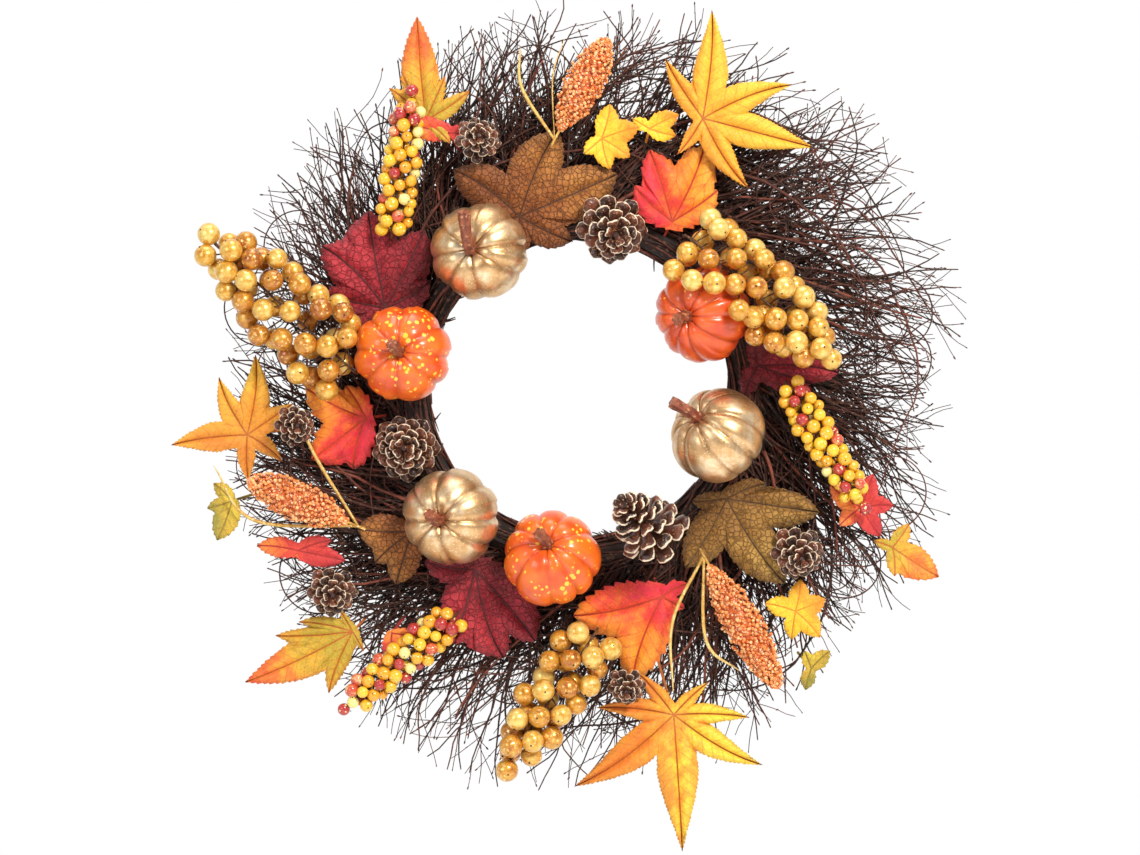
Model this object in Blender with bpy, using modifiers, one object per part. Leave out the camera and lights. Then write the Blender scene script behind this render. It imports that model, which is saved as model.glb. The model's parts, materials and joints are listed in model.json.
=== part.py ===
"""Harvest door wreath: a wire frame, a bound ring of brushwood, and its autumn trimmings.

The hook that carries the wreath bears at the origin, inside the top of the hanging loop.
+Z is up, +X is to the viewer's right and the decorated front faces -Y. The sizes below are
in millimetres, clock angles run clockwise from the top as the viewer sees them, an "out" is
how far beyond the ring's middle circle a piece sits, and a "stand" is how far it stands
forward of the binding wire.
"""

import math
from collections import namedtuple

import bmesh
import bpy
from mathutils import Matrix, Vector

MM = 0.001
WELD = 1e-6

# Frame: two round wire hoops on flat cross bars, whose backs rest on the door.
RING_R = 109.0
HOOP_SPREAD = 26.0
WIRE_D = 3.2
BAR_W = 6.0
BAR_THICK = 3.4
BAR_COUNT = 4
HOOP_STEPS = 36
WELD_DEPTH = 0.3

# Hanging loop: a wire bail whose two eyes turn on the outer hoop.
LOOP_D = 2.0
LOOP_HEIGHT = 29.0
LOOP_HALF_W = 11.0
EYE_CLEAR = 0.9

# Brushwood ring and the wire wound round it.
CORE_W = 19.0
CORE_DEPTH = 24.0
CORE_SHIFT = -4.5
CORE_WAVE = 0.7
BIND_D = 1.2
BIND_CLEAR = 0.6
FIT_GAP = 0.4
CORE_AROUND = 48
CORE_SECTION = 8

# Brush: bundles laid along the outside of the ring, whose tips sweep out clockwise.
BUNDLE_COUNT = 8
TWIGS_PER_BUNDLE = 8
BUTT_D = 8.0
BUTT_SPAN = 12.0
TWIG_D = 1.9
TIP_D = 0.9
BRUSH_R = 229.0
BRUSH_LEAN = 13.0
BRUSH_RAGGED = 8.0
SWEEP_MIN = 16.0
SWEEP_MAX = 53.0
FORK_SWEEP = 6.5

# Pumpkins.
PUMPKIN_D = 60.0
PUMPKIN_H = 46.0
PUMPKIN_LOBES = 10
GROOVE = 0.07
STALK_D = 8.4

# Berries, seed spikes, leaves.
BIG_BERRY_D = 14.0
SMALL_BERRY_D = 9.0
SPIKE_D = 25.0
STEM_D = 1.6
LEAF_THICK = 0.8
PETIOLE_W = 2.0
BLADE_D = 2.6

# Worked out from the sizes above.
INNER_R = RING_R - HOOP_SPREAD / 2
OUTER_R = RING_R + HOOP_SPREAD / 2
HINGE_DROP = LOOP_HEIGHT - LOOP_D / 2
HINGE_RISE = math.sqrt(OUTER_R ** 2 - LOOP_HALF_W ** 2)
RING_DROP = HINGE_DROP + HINGE_RISE
EYE_R = WIRE_D / 2 + EYE_CLEAR + LOOP_D / 2
BAR_BACK = WIRE_D / 2 - WELD_DEPTH + BAR_THICK
CORE_BACK = -WIRE_D / 2 - 2 * FIT_GAP
CORE_FRONT = CORE_BACK - CORE_DEPTH
BIND_FRONT = CORE_FRONT - CORE_WAVE - BIND_CLEAR - BIND_D
TRIM_BACK = BIND_FRONT - FIT_GAP
STEM_Y = TRIM_BACK - STEM_D / 2

Pumpkin = namedtuple("Pumpkin", "name clock out tilt lean stalk color metal")
Cone = namedtuple("Cone", "name clock out back diameter length aim")
# A cluster starts at a clock angle and an out, and runs its length on its heading, a clock
# angle. A spike runs from its start to its end, each a clock angle and an out; a straw blade
# runs from a spike's foot through a bend to a tip, each a clock angle, an out and a stand.
Cluster = namedtuple("Cluster", "name start heading length stand count reach roll")
Spike = namedtuple("Spike", "name start end stand blades")
Leaf = namedtuple("Leaf", "clock out stand pitch lobes slim petiole")

GOLD = (0.62, 0.42, 0.16)
ORANGE = (0.86, 0.24, 0.03)
PUMPKINS = [
    Pumpkin("pumpkin_gold_top", -36.5, -5, (-0.22, 0.02), (0.0, 0.9), 24, GOLD, 0.8),
    Pumpkin("pumpkin_orange_left", -79, 2, (-0.08, 0.02), (-0.2, 0.3), 15, ORANGE, 0.0),
    Pumpkin("pumpkin_gold_left", -135, 3, (-0.32, -0.08), (-0.1, 0.3), 17, GOLD, 0.8),
    Pumpkin("pumpkin_orange_bottom", -170.5, -3, (-0.12, 0.42), (-0.3, 0.2), 15, ORANGE, 0.0),
    Pumpkin("pumpkin_gold_right", 109, -20, (-0.6, 0.5), (-0.5, 0.2), 17, GOLD, 0.8),
    Pumpkin("pumpkin_orange_right", 59, -21, (-0.5, -0.1), (-0.1, -0.1), 14, ORANGE, 0.0),
]

CONES = [
    Cone("pinecone_top", 12, -11, 0, 46, 42, (0.1, -1.0, -0.2)),
    Cone("pinecone_left", 251, 5, 0, 43, 38, (0.0, -1.0, 0.0)),
    Cone("pinecone_bottom", 155.5, -20, -8, 46, 52, (-0.5, -0.75, 0.5)),
    Cone("pinecone_right", 127.2, 60, -3, 35, 28, (0.1, -1.0, 0.2)),
    Cone("pinecone_lower_left", 230.4, 89, -3, 33, 27, (0.1, -1.0, -0.1)),
    Cone("pinecone_upper_left", 337.8, 57, -9, 30, 25, (0.1, -1.0, 0.1)),
    Cone("pinecone_far_left", 262.5, 67, -11, 27, 23, (0.2, -1.0, 0.0)),
    Cone("pinecone_low", 171.4, 78, -9, 25, 21, (0.0, -1.0, -0.2)),
]

BIG_CLUSTERS = [
    Cluster("berry_cluster_left", (274, 39), 314.1, 110.3, 25.7, 24, 24, 0),
    Cluster("berry_cluster_right", (40, 24), 134.0, 102.2, 36.7, 22, 19, -40),
    Cluster("berry_cluster_bottom", (177, 46), 213.7, 91.7, 22.7, 18, 17, 0),
]

SMALL_CLUSTERS = [
    Cluster("berry_spray_top", (310, 42), 7.9, 81.2, 16.7, 14, 4.0, 0),
    Cluster("berry_spray_right", (90, 20), 148.0, 82.1, 18.7, 14, 4.0, 0),
    Cluster("berry_spray_bottom", (209, 53), 230.0, 81.6, 16.7, 14, 4.0, 0),
]

SPIKES = [
    Spike("seed_spike_top", (355.5, 50), (4.5, 106), 21.7, (
        ((349, 79, 17.7), (350, 104, 13.7)), ((355, 83, 17.7), (357.5, 107, 13.7)))),
    Spike("seed_spike_left", (240, 56), (254.5, 103), 22.7, (
        ((248, 108, 18.7), (258, 122, 14.7)), ((257, 61, 9.7), (266.5, 66, 8.7)))),
    Spike("seed_spike_bottom", (144, 26), (146.5, 112), 23.7, (
        ((158.5, 46, 19.7), (163, 87, 15.7)), ((153.5, 65, 19.7), (150.5, 92, 15.7)))),
]

# Each lobe is its clock angle and its length from the leaf's hub.
STAR_LEAVES = {
    "star_leaf_top": Leaf(24.5, 74, 9.7, 5, (
        (10, 67), (61, 59), (105, 71), (155, 52), (210, 28), (323, 44)), 0.23, 48),
    "star_leaf_left": Leaf(262, 99, 4.7, 1, (
        (14, 50), (56, 35), (119, 28), (184, 30), (267, 47), (325, 40)), 0.27, 40),
    "star_leaf_bottom": Leaf(164, 101, 10.7, 5, (
        (42, 30), (87, 47), (128, 63), (176, 84), (226, 76), (281, 48), (323, 36)), 0.22, 60),
}
BROWN_LEAVES = {
    "brown_leaf_top": Leaf(340.7, 4, 1.3, 3, (
        (17, 58), (68, 64), (119, 18), (250, 12), (310, 45)), 0.3, 0),
    "brown_leaf_right": Leaf(127, 5, 1.5, 4, (
        (62, 24), (99, 57), (152, 63), (206, 50), (262, 20)), 0.27, 0),
    "brown_leaf_left": Leaf(229.5, 28, 1.7, 2, (
        (198, 34), (236, 30), (268, 34)), 0.4, 0),
}
BURGUNDY_LEAVES = {
    "burgundy_leaf_left": Leaf(292.4, 21, 2.7, 2, (
        (232, 26), (279, 41), (323, 55), (347, 61), (28, 54), (66, 32)), 0.42, 0),
    "burgundy_leaf_right": Leaf(83, 2, 1.7, 4, (
        (212, 20), (350, 18), (86, 50), (109, 32)), 0.42, 0),
    "burgundy_leaf_bottom": Leaf(210, 21, 2.2, 3, (
        (136, 58), (171, 58), (194, 48), (272, 32)), 0.42, 0),
}
SUNSET_LEAVES = {
    "sunset_leaf_top": Leaf(29, 9, 2.7, 0, (
        (304, 32), (344, 47), (29, 52), (60, 34)), 0.4, 0),
    "sunset_leaf_left": Leaf(262, 25, 1.7, 1, (
        (203, 33), (232, 42), (289, 42), (333, 24)), 0.42, 0),
    "sunset_leaf_bottom": Leaf(158.6, 30, 2.2, 1, (
        (54, 18), (120, 16), (207, 55), (251, 52)), 0.46, 12),
}
# A pick is two small leaves that share one wire.
LEAF_PICKS = {
    "leaf_pick_top": (
        Leaf(5, 46, 6.7, 0, ((20, 22), (70, 24), (120, 21), (172, 20), (228, 15)), 0.44, 0),
        Leaf(15, 57, 6.7, 0, ((60, 20), (110, 17), (300, 12)), 0.44, 0)),
    "leaf_pick_upper_left": (
        Leaf(330, 82, 8.7, 0, ((356, 62), (58, 32), (315, 26), (120, 18)), 0.3, 0),
        Leaf(333, 68, 8.7, 0, ((278, 30), (96, 24)), 0.3, 0)),
    "leaf_pick_right": (
        Leaf(113, 80, 6.7, 0, ((20, 22), (80, 20), (150, 22), (300, 24), (235, 18)), 0.4, 0),
        Leaf(117, 108, 6.7, 0, ((40, 18), (126, 34), (170, 18), (290, 12)), 0.36, 0)),
    "leaf_pick_low_right": (
        Leaf(136, 83, 5.7, 0, ((15, 20), (70, 20), (130, 22), (190, 18), (290, 20)), 0.44, 0),
        Leaf(140.5, 116, 5.7, 0, ((40, 16), (200, 14), (340, 12)), 0.44, 0)),
    "leaf_pick_low_left": (
        Leaf(223, 97, 8.7, 2, ((248, 70), (212, 38), (274, 26), (60, 12)), 0.3, 0),
        Leaf(217.5, 82, 8.7, 2, ((184, 20), (100, 14)), 0.36, 0)),
    "leaf_pick_left": (
        Leaf(252, 117, 10.2, 0, ((196, 26), (250, 16), (320, 16)), 0.4, 0),
        Leaf(240, 92, 10.2, 0, ((66, 22), (283, 26), (102, 30)), 0.3, 0)),
}


def on_ring(clock, out=0.0, y=0.0):
    """Point at a clock angle, out beyond the ring's middle circle and y in front of the hoops."""
    angle, radius = math.radians(clock), RING_R + out
    return Vector((radius * math.sin(angle), y, radius * math.cos(angle) - RING_DROP))


def ahead(clock, out, stand):
    """Point at a clock angle and out, a stand forward of the binding wire."""
    return on_ring(clock, out, TRIM_BACK - stand)


def toward(clock):
    """Unit vector in the wreath's plane that points at a clock angle."""
    angle = math.radians(clock)
    return Vector((math.sin(angle), 0.0, math.cos(angle)))


def sway(number):
    """Repeatable ragged value from -1 to 1."""
    return math.sin(number * 2.399) * math.cos(number * 0.71)


def clear_scene():
    for item in list(bpy.data.objects):
        bpy.data.objects.remove(item, do_unlink=True)
    for group in list(bpy.data.collections):
        bpy.data.collections.remove(group)


def finish(name, color, roughness, metallic=0.0):
    material = bpy.data.materials.new(name)
    material.use_nodes = True
    shader = material.node_tree.nodes["Principled BSDF"]
    shader.inputs["Base Color"].default_value = (*color, 1.0)
    shader.inputs["Roughness"].default_value = roughness
    shader.inputs["Metallic"].default_value = metallic
    return material


def add_object(name, data):
    item = bpy.data.objects.new(name, data)
    parts.objects.link(item)
    return item


def dress(item, material, smooth_deg=50):
    item.data.materials.clear()
    item.data.materials.append(material)
    item.data.shade_smooth()
    item.data.set_sharp_from_angle(angle=math.radians(smooth_deg))
    return item


def as_mesh(item):
    """Replace an object by the mesh that its modifiers or its curve make, caps welded."""
    graph = bpy.context.evaluated_depsgraph_get()
    mesh = bpy.data.meshes.new_from_object(item.evaluated_get(graph))
    work = bmesh.new()
    work.from_mesh(mesh)
    bmesh.ops.remove_doubles(work, verts=work.verts, dist=WELD)
    work.to_mesh(mesh)
    work.free()
    name, matrix = item.name, item.matrix_world.copy()
    bpy.data.objects.remove(item, do_unlink=True)
    solid = add_object(name, mesh)
    solid.matrix_world = matrix
    bpy.context.view_layer.update()
    return solid


def tube(name, points, radii, sides_step=0, closed=False):
    """Wire through points in mm, one radius for each point; sides_step 0, 1, 2 is 4, 6, 8 sides."""
    curve = bpy.data.curves.new(name, "CURVE")
    curve.dimensions = "3D"
    curve.bevel_depth = 1.0
    curve.bevel_resolution = sides_step
    curve.use_fill_caps = True
    spline = curve.splines.new("POLY")
    spline.points.add(len(points) - 1)
    spline.use_cyclic_u = closed
    for knot, place, radius in zip(spline.points, points, radii):
        knot.co = (*(Vector(place) * MM), 1.0)
        knot.radius = radius * MM
    return as_mesh(add_object(name, curve))


def wire(name, points, diameter, sides_step=0, closed=False):
    return tube(name, points, [diameter / 2] * len(points), sides_step, closed)


def turned(name, profile, steps, aim, place):
    """Turn a profile of (radius, height) round its own axis, aimed along a vector."""
    mesh = bpy.data.meshes.new(name)
    knots = [(radius * MM, 0.0, height * MM) for radius, height in profile]
    edges = [(i, i + 1) for i in range(len(knots) - 1)]
    if profile[0][0] > 0:
        edges.append((len(knots) - 1, 0))
    mesh.from_pydata(knots, edges, [])
    item = add_object(name, mesh)
    screw = item.modifiers.new("turn", "SCREW")
    screw.steps = steps
    screw.render_steps = steps
    screw.use_merge_vertices = True
    screw.merge_threshold = WELD
    item.matrix_world = aimed(aim, place)
    bpy.context.view_layer.update()
    return as_mesh(item)


def aimed(aim, place):
    """Matrix that stands an object's +Z along aim at a place in mm."""
    turn = Vector((0, 0, 1)).rotation_difference(Vector(aim).normalized())
    return Matrix.Translation(Vector(place) * MM) @ turn.to_matrix().to_4x4()


def fuse(name, solids):
    """Union of closed solids that meet, as one body."""
    base, rest = solids[0], solids[1:]
    work = bmesh.new()
    for solid in rest:
        copy = solid.data.copy()
        copy.transform(solid.matrix_world)
        work.from_mesh(copy)
        bpy.data.meshes.remove(copy)
        bpy.data.objects.remove(solid, do_unlink=True)
    mesh = bpy.data.meshes.new(name + "_rest")
    work.to_mesh(mesh)
    work.free()
    other = add_object(name + "_rest", mesh)
    join = base.modifiers.new("join", "BOOLEAN")
    join.operation = "UNION"
    join.solver = "EXACT"
    join.use_self = True
    join.object = other
    bpy.context.view_layer.update()
    base.name = name
    solid = as_mesh(base)
    bpy.data.objects.remove(other, do_unlink=True)
    solid.name = name
    return solid


def hoop(name, radius, center_y=0.0):
    """Round wire bent to a circle about the wreath's middle."""
    section = [22.5 + 45 * k for k in range(8)]
    profile = [(radius + WIRE_D / 2 * math.cos(math.radians(a)) / math.cos(math.radians(22.5)),
                WIRE_D / 2 * math.sin(math.radians(a)) / math.cos(math.radians(22.5)))
               for a in reversed(section)]
    return turned(name, profile, HOOP_STEPS, (0, -1, 0), (0, center_y, -RING_DROP))


def make_frame(material):
    pieces = [hoop("hoop_inner", INNER_R), hoop("hoop_outer", OUTER_R)]
    bar_len = HOOP_SPREAD + WIRE_D * 0.6
    for k in range(BAR_COUNT):
        work = bmesh.new()
        bmesh.ops.create_cube(work, size=1.0)
        size = Vector((BAR_W, BAR_THICK, bar_len)) * MM
        bmesh.ops.scale(work, verts=work.verts, vec=size)
        mesh = bpy.data.meshes.new("bar")
        work.to_mesh(mesh)
        work.free()
        bar = add_object("bar", mesh)
        clock = 360 / BAR_COUNT * k
        bar.location = on_ring(clock, 0, BAR_BACK - BAR_THICK / 2) * MM
        bar.rotation_euler = (0, math.radians(clock), 0)
        bpy.context.view_layer.update()
        pieces.append(bar)
    dress(fuse("wire_frame", pieces), material)


def make_loop(material):
    """Bail with its origin on the hinge axis."""
    rise = LOOP_HEIGHT - LOOP_HALF_W
    path = [Vector((-LOOP_HALF_W, 0, EYE_R)), Vector((-LOOP_HALF_W, 0, rise))]
    for k in range(1, 9):
        angle = math.radians(180 - 180 / 9 * k)
        path.append(Vector((LOOP_HALF_W * math.cos(angle), 0, rise + LOOP_HALF_W * math.sin(angle))))
    path += [Vector((LOOP_HALF_W, 0, rise)), Vector((LOOP_HALF_W, 0, EYE_R))]
    pieces = [wire("bail", path, LOOP_D, 2)]
    for side in (-1, 1):
        bpy.ops.mesh.primitive_torus_add(
            major_segments=14, minor_segments=6, major_radius=EYE_R * MM, minor_radius=LOOP_D / 2 * MM,
            location=(side * LOOP_HALF_W * MM, 0, 0), rotation=(0, math.pi / 2, 0))
        eye = bpy.context.object
        for group in list(eye.users_collection):
            group.objects.unlink(eye)
        parts.objects.link(eye)
        bpy.context.view_layer.update()
        pieces.append(eye)
    loop = dress(fuse("hanging_loop", pieces), material)
    loop.location = (0, 0, -HINGE_DROP * MM)


def make_core(material):
    """Ring of brushwood, a little uneven where the twigs lie."""
    around, section = CORE_AROUND, CORE_SECTION
    work = bmesh.new()
    rings = []
    for k in range(around):
        clock = 360 / around * k
        ring = []
        for j in range(section):
            angle = 2 * math.pi * (j + 0.5) / section
            swell = CORE_WAVE * (0.5 + 0.5 * sway(k * 3 + j * 5))
            out = CORE_SHIFT + (CORE_W / 2 - CORE_WAVE + swell) * math.cos(angle)
            depth = (CORE_DEPTH / 2 - CORE_WAVE + swell) * math.sin(angle)
            ring.append(work.verts.new(on_ring(clock, out, (CORE_BACK + CORE_FRONT) / 2 + depth) * MM))
        rings.append(ring)
    for k in range(around):
        ring, following = rings[k], rings[(k + 1) % around]
        for j in range(section):
            step = (j + 1) % section
            work.faces.new((ring[j], following[j], following[step], ring[step]))
    bmesh.ops.recalc_face_normals(work, faces=work.faces)
    bmesh.ops.triangulate(work, faces=work.faces)
    mesh = bpy.data.meshes.new("twig_core")
    work.to_mesh(mesh)
    work.free()
    dress(add_object("twig_core", mesh), material)


def bundle_clock(number):
    return 360 / BUNDLE_COUNT * (number + 0.5)


def make_binding(material):
    """One wire wound round the ring, a turn over each bundle's butt."""
    inner = -HOOP_SPREAD / 2 - WIRE_D / 2 - BIND_CLEAR - BIND_D / 2
    outer = HOOP_SPREAD / 2 + WIRE_D / 2 + BIND_CLEAR + BIND_D / 2
    front = BIND_FRONT + BIND_D / 2
    back = WIRE_D / 2 + BIND_CLEAR + BIND_D / 2
    corners = [side + step for side in (0, 90, 180, 270) for step in (35, 45, 55)]
    points = []
    for k in range(len(corners) * BUNDLE_COUNT):
        whole, part = divmod(k, len(corners))
        turn = whole + corners[part] / 360
        angle = 2 * math.pi * turn
        square = max(abs(math.cos(angle)), abs(math.sin(angle))) ** 0.95
        out = (inner + outer) / 2 + (outer - inner) / 2 * math.cos(angle) / square
        y = (front + back) / 2 + (back - front) / 2 * math.sin(angle) / square
        points.append(on_ring(bundle_clock(turn), out, y))
    dress(wire("binding_wire", points, BIND_D, 0, True), material)


def make_bundle(number, material):
    """Forked twigs that leave one bound butt and sweep outward and clockwise."""
    middle = bundle_clock(number)
    butt_out = CORE_SHIFT + CORE_W / 2 + FIT_GAP + CORE_WAVE + BUTT_D / 2
    butt_y = (CORE_BACK + CORE_FRONT) / 2
    spots = [middle - BUTT_SPAN / 2 + BUTT_SPAN * s for s in (0, 0.2, 0.6, 1)]
    path = [on_ring(clock, butt_out, butt_y) for clock in spots]
    pieces = [tube("butt", path, [BUTT_D * f for f in (0.3, 0.5, 0.5, 0.34)], 1)]
    start = middle + BUTT_SPAN / 2

    def along(share, sweep, reach, tip_y):
        """Point of a twig, share 0 at the butt and 1 at its tip."""
        out = butt_out + (reach - butt_out) * share
        return on_ring(start + sweep * share, out, butt_y + (tip_y - butt_y) * max(share, 0))

    def tip_of(order, sweep):
        """How far out a twig reaches and how far forward its tip stands."""
        lean = BRUSH_LEAN * math.cos(math.radians(start + sweep - 55))
        reach = BRUSH_R + lean + BRUSH_RAGGED * sway(number * 11 + order * 4) - RING_R
        return reach, CORE_FRONT + (0.12 + 0.76 * ((order * 3) % 8) / 7) * CORE_DEPTH

    stems = TWIGS_PER_BUNDLE // 2
    for j in range(stems):
        sweep = SWEEP_MIN + (SWEEP_MAX - FORK_SWEEP - SWEEP_MIN) * j / (stems - 1)
        reach, tip_y = tip_of(2 * j, sweep)
        path = [along(s, sweep, reach, tip_y) for s in (-0.03, 0.3, 1.0)]
        pieces.append(tube("twig", path, [TWIG_D / 2, TWIG_D / 2, TIP_D / 2]))
        fork = along(0.3, sweep, reach, tip_y)
        side_reach, side_y = tip_of(2 * j + 1, sweep + FORK_SWEEP)
        side_tip = along(1.0, sweep + FORK_SWEEP, side_reach, side_y)
        pieces.append(tube("fork", [fork, side_tip], [TWIG_D * 0.4, TIP_D / 2]))
    dress(fuse(f"twig_bundle_{number + 1}", pieces), material)


def pumpkin_axis(spec):
    sideways, upward = spec.tilt
    return Vector((sideways, -math.sqrt(1 - sideways ** 2 - upward ** 2), upward))


def make_pumpkin(spec, skin, stalk_material):
    """Ribbed oblate body, and its stalk standing in the dimple with a gap."""
    half = PUMPKIN_H / 2 / 0.9
    axis = pumpkin_axis(spec)
    slant = 1 - axis.y ** 2
    back_reach = math.sqrt((half * 0.94) ** 2 * (1 - slant) + (PUMPKIN_D / 2) ** 2 * slant)
    center = on_ring(spec.clock, spec.out, TRIM_BACK - back_reach)
    work = bmesh.new()
    bmesh.ops.create_uvsphere(work, u_segments=2 * PUMPKIN_LOBES, v_segments=8, radius=1.0)
    for vert in work.verts:
        wide = math.hypot(vert.co.x, vert.co.y)
        turn = math.atan2(vert.co.y, vert.co.x)
        rib = 1 - GROOVE * (0.5 - 0.5 * math.cos(PUMPKIN_LOBES * turn))
        sink = 0.28 * max(0.0, 1 - wide / 0.55) ** 2
        high = vert.co.z - math.copysign(sink, vert.co.z)
        if wide > WELD:
            vert.co.x *= rib
            vert.co.y *= rib
        vert.co = Vector((vert.co.x * PUMPKIN_D / 2, vert.co.y * PUMPKIN_D / 2, high * half)) * MM
    mesh = bpy.data.meshes.new(spec.name)
    work.to_mesh(mesh)
    work.free()
    body = add_object(spec.name, mesh)
    body.matrix_world = aimed(axis, center)
    dress(body, skin, 80)
    foot = center + axis * (half * 0.72 + 3 * FIT_GAP)
    lean = Vector((spec.lean[0], 0, spec.lean[1]))
    path = [foot, foot + axis * 2.8]
    for s in (0.35, 0.7, 1.0):
        path.append(foot + axis * (2.8 + (spec.stalk - 2.8) * s * 0.8) + lean * spec.stalk * s * s)
    radii = [STALK_D * f for f in (0.2, 0.5, 0.36, 0.32, 0.38)]
    stalk = tube(spec.name.replace("pumpkin", "stalk"), path, radii, 1)
    dress(stalk, stalk_material)


def make_cone(spec, material):
    """Pine cone in tiers of scales, tip along its aim."""
    aim = Vector(spec.aim).normalized()
    radius, length = spec.diameter / 2, spec.length
    tiers, steps = (5, 10) if spec.diameter > 40 else (4, 9)
    profile = [(0.0, length)]
    for k in range(tiers):
        down = (k + 1) / tiers
        width = radius * math.sin(math.pi * (0.16 + 0.5 * down))
        z = length * (1 - 0.86 * down)
        profile.append((width, z + length * 0.05))
        profile.append((width * 0.7, z - length * 0.05 if k < tiers - 1 else length * 0.04))
    profile.append((0.0, 0.0))
    slant = math.sqrt(1 - aim.y ** 2)
    lift = radius * slant
    place = on_ring(spec.clock, spec.out, TRIM_BACK + spec.back - lift)
    shift = Vector((aim.x, 0, aim.z)) * (length / 2)
    dress(turned(spec.name, profile, steps, aim, place - shift), material, 40)


def ball(name, center, diameter, segments, rings):
    work = bmesh.new()
    bmesh.ops.create_uvsphere(work, u_segments=segments, v_segments=rings, radius=diameter / 2 * MM)
    bmesh.ops.translate(work, verts=work.verts, vec=Vector(center) * MM)
    mesh = bpy.data.meshes.new(name)
    work.to_mesh(mesh)
    work.free()
    return add_object(name, mesh)


def cluster_layout(spec):
    """Places of a cluster's berries, and the stem point that each one hangs from."""
    start = ahead(*spec.start, spec.stand)
    end = start + toward(spec.heading) * spec.length
    along = (end - start).normalized()
    across = along.cross(Vector((0, 1, 0))).normalized()
    roll = math.radians(spec.roll)
    side = across * math.cos(roll) + Vector((0, -1, 0)) * math.sin(roll)
    deep = along.cross(side)
    spots = []
    for k in range(spec.count):
        s = (k + 0.5) / spec.count
        fade = math.sin(math.pi * min(1.0, 0.22 + 0.78 * s * 1.05)) ** 0.6 if s < 0.97 else 0.0
        angle = math.radians(137.5) * k
        offset = (side * math.cos(angle) + deep * 0.55 * math.sin(angle)) * spec.reach * fade
        joint = start + (end - start) * max(0.0, s - 0.05)
        spots.append((start + (end - start) * s + offset, joint))
    return start, end, spots


def make_cluster(spec, berry_d, segments, rings, material):
    """Berries on short wires along a stem that tucks in behind them."""
    start, end, spots = cluster_layout(spec)
    inward = (end - start).normalized() * 12
    root = start - inward
    root.y = min(STEM_Y - 4, start.y + 14)
    pieces = [wire("stem", [root, start, (start + end) / 2, end], STEM_D)]
    for place, joint in spots:
        if spec.reach > berry_d * 0.55:
            pieces.append(wire("sprig", [joint, place], STEM_D * 0.75))
        pieces.append(ball("berry", place, berry_d, segments, rings))
    dress(fuse(spec.name, pieces), material, 80)


def make_spike(spec, material):
    """Seed head on a stalk, with two straw blades bound to its foot."""
    start, end = ahead(*spec.start, spec.stand), ahead(*spec.end, spec.stand)
    along = (end - start).normalized()
    length = (end - start).length
    profile = [(0.0, length)]
    for share, width in ((0.96, 0.36), (0.84, 0.72), (0.66, 0.94), (0.46, 1.0), (0.26, 0.84), (0.1, 0.5)):
        profile.append((SPIKE_D / 2 * width, length * share))
    profile.append((0.0, 0.0))
    pieces = [turned("seeds", profile, 10, along, start)]
    foot = start - along * 9
    pieces.append(wire("stalk", [foot, start + along * 6], STEM_D))
    for bend, tip in spec.blades:
        path = [foot + along * 2, ahead(*bend), ahead(*tip)]
        pieces.append(tube("blade", path, [BLADE_D * 0.5, BLADE_D * 0.6, BLADE_D * 0.25]))
    dress(fuse(spec.name, pieces), material, 60)


def lobe_knots(slim):
    """A lobe's edge as (degrees off its midrib, share of its length), from tip to shoulder."""
    shape = ((1.0, 0.0), (0.8, 0.55), (0.5, 1.0), (0.3, 1.0))
    return [(math.degrees(math.atan2(slim * width, share)), share) for share, width in shape]


def leaf_reach(lobes, slim, clock):
    """How far the blade's edge is from its hub in a direction: its furthest lobe there."""
    knots, best = lobe_knots(slim), 0.0
    for lobe_clock, length in lobes:
        off = abs(math.remainder(clock - lobe_clock, 360))
        share = knots[-1][1] * knots[-1][0] / max(off, knots[-1][0])
        for (near, high), (far, low) in zip(knots, knots[1:]):
            if near <= off < far:
                share = high + (low - high) * (off - near) / (far - near)
        best = max(best, share * length)
    return best


def leaf_outline(lobes, slim, petiole, petiole_clock):
    """Outline of a lobed leaf about its hub: tips, shoulders and notches, and its petiole."""
    clocks = set()
    order = sorted(lobes)
    for k, (clock, _) in enumerate(order):
        gap = (order[(k + 1) % len(order)][0] - clock) % 360
        clocks.add((clock + gap / 2) % 360)
        for off, share in lobe_knots(slim)[:3]:
            clocks.update(((clock + off) % 360, (clock - off) % 360))
    kept = []
    half = math.degrees(math.atan2(PETIOLE_W / 2, min(length for _, length in lobes) * 0.3))
    for clock in sorted(clocks):
        close = kept and clock - kept[-1] < 3
        on_petiole = petiole and abs(math.remainder(clock - petiole_clock, 360)) < half + 2
        if not close and not on_petiole:
            kept.append(clock)
    marks = [(clock, toward(clock) * leaf_reach(lobes, slim, clock)) for clock in kept]
    if petiole:
        side = toward(petiole_clock + 90) * PETIOLE_W / 2
        for sign in (-1, 1):
            clock = petiole_clock + sign * half
            marks.append((clock % 360, toward(clock) * leaf_reach(lobes, slim, clock)))
            marks.append(((petiole_clock + sign * half / 2) % 360,
                          toward(petiole_clock) * petiole + side * sign))
    return [mark for _, mark in sorted(marks, key=lambda pair: pair[0])]


def leaf_plate(name, spec, petiole_clock=None):
    """Flat leaf blade, pitched so that its outer end stands further from the door."""
    clock = spec.clock + 180 if petiole_clock is None else petiole_clock
    curve = bpy.data.curves.new(name, "CURVE")
    curve.dimensions = "2D"
    curve.fill_mode = "BOTH"
    curve.extrude = LEAF_THICK / 2 * MM
    marks = leaf_outline(spec.lobes, spec.slim, spec.petiole, clock)
    spline = curve.splines.new("POLY")
    spline.points.add(len(marks) - 1)
    spline.use_cyclic_u = True
    for knot, mark in zip(spline.points, marks):
        knot.co = (mark.x * MM, mark.z * MM, 0.0, 1.0)
    item = add_object(name, curve)
    stand = Matrix.Rotation(math.pi / 2, 4, "X")
    pitch = Matrix.Rotation(math.radians(spec.pitch), 4, toward(spec.clock + 90))
    item.matrix_world = Matrix.Translation(ahead(spec.clock, spec.out, spec.stand) * MM) @ pitch @ stand
    bpy.context.view_layer.update()
    return as_mesh(item)


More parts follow.
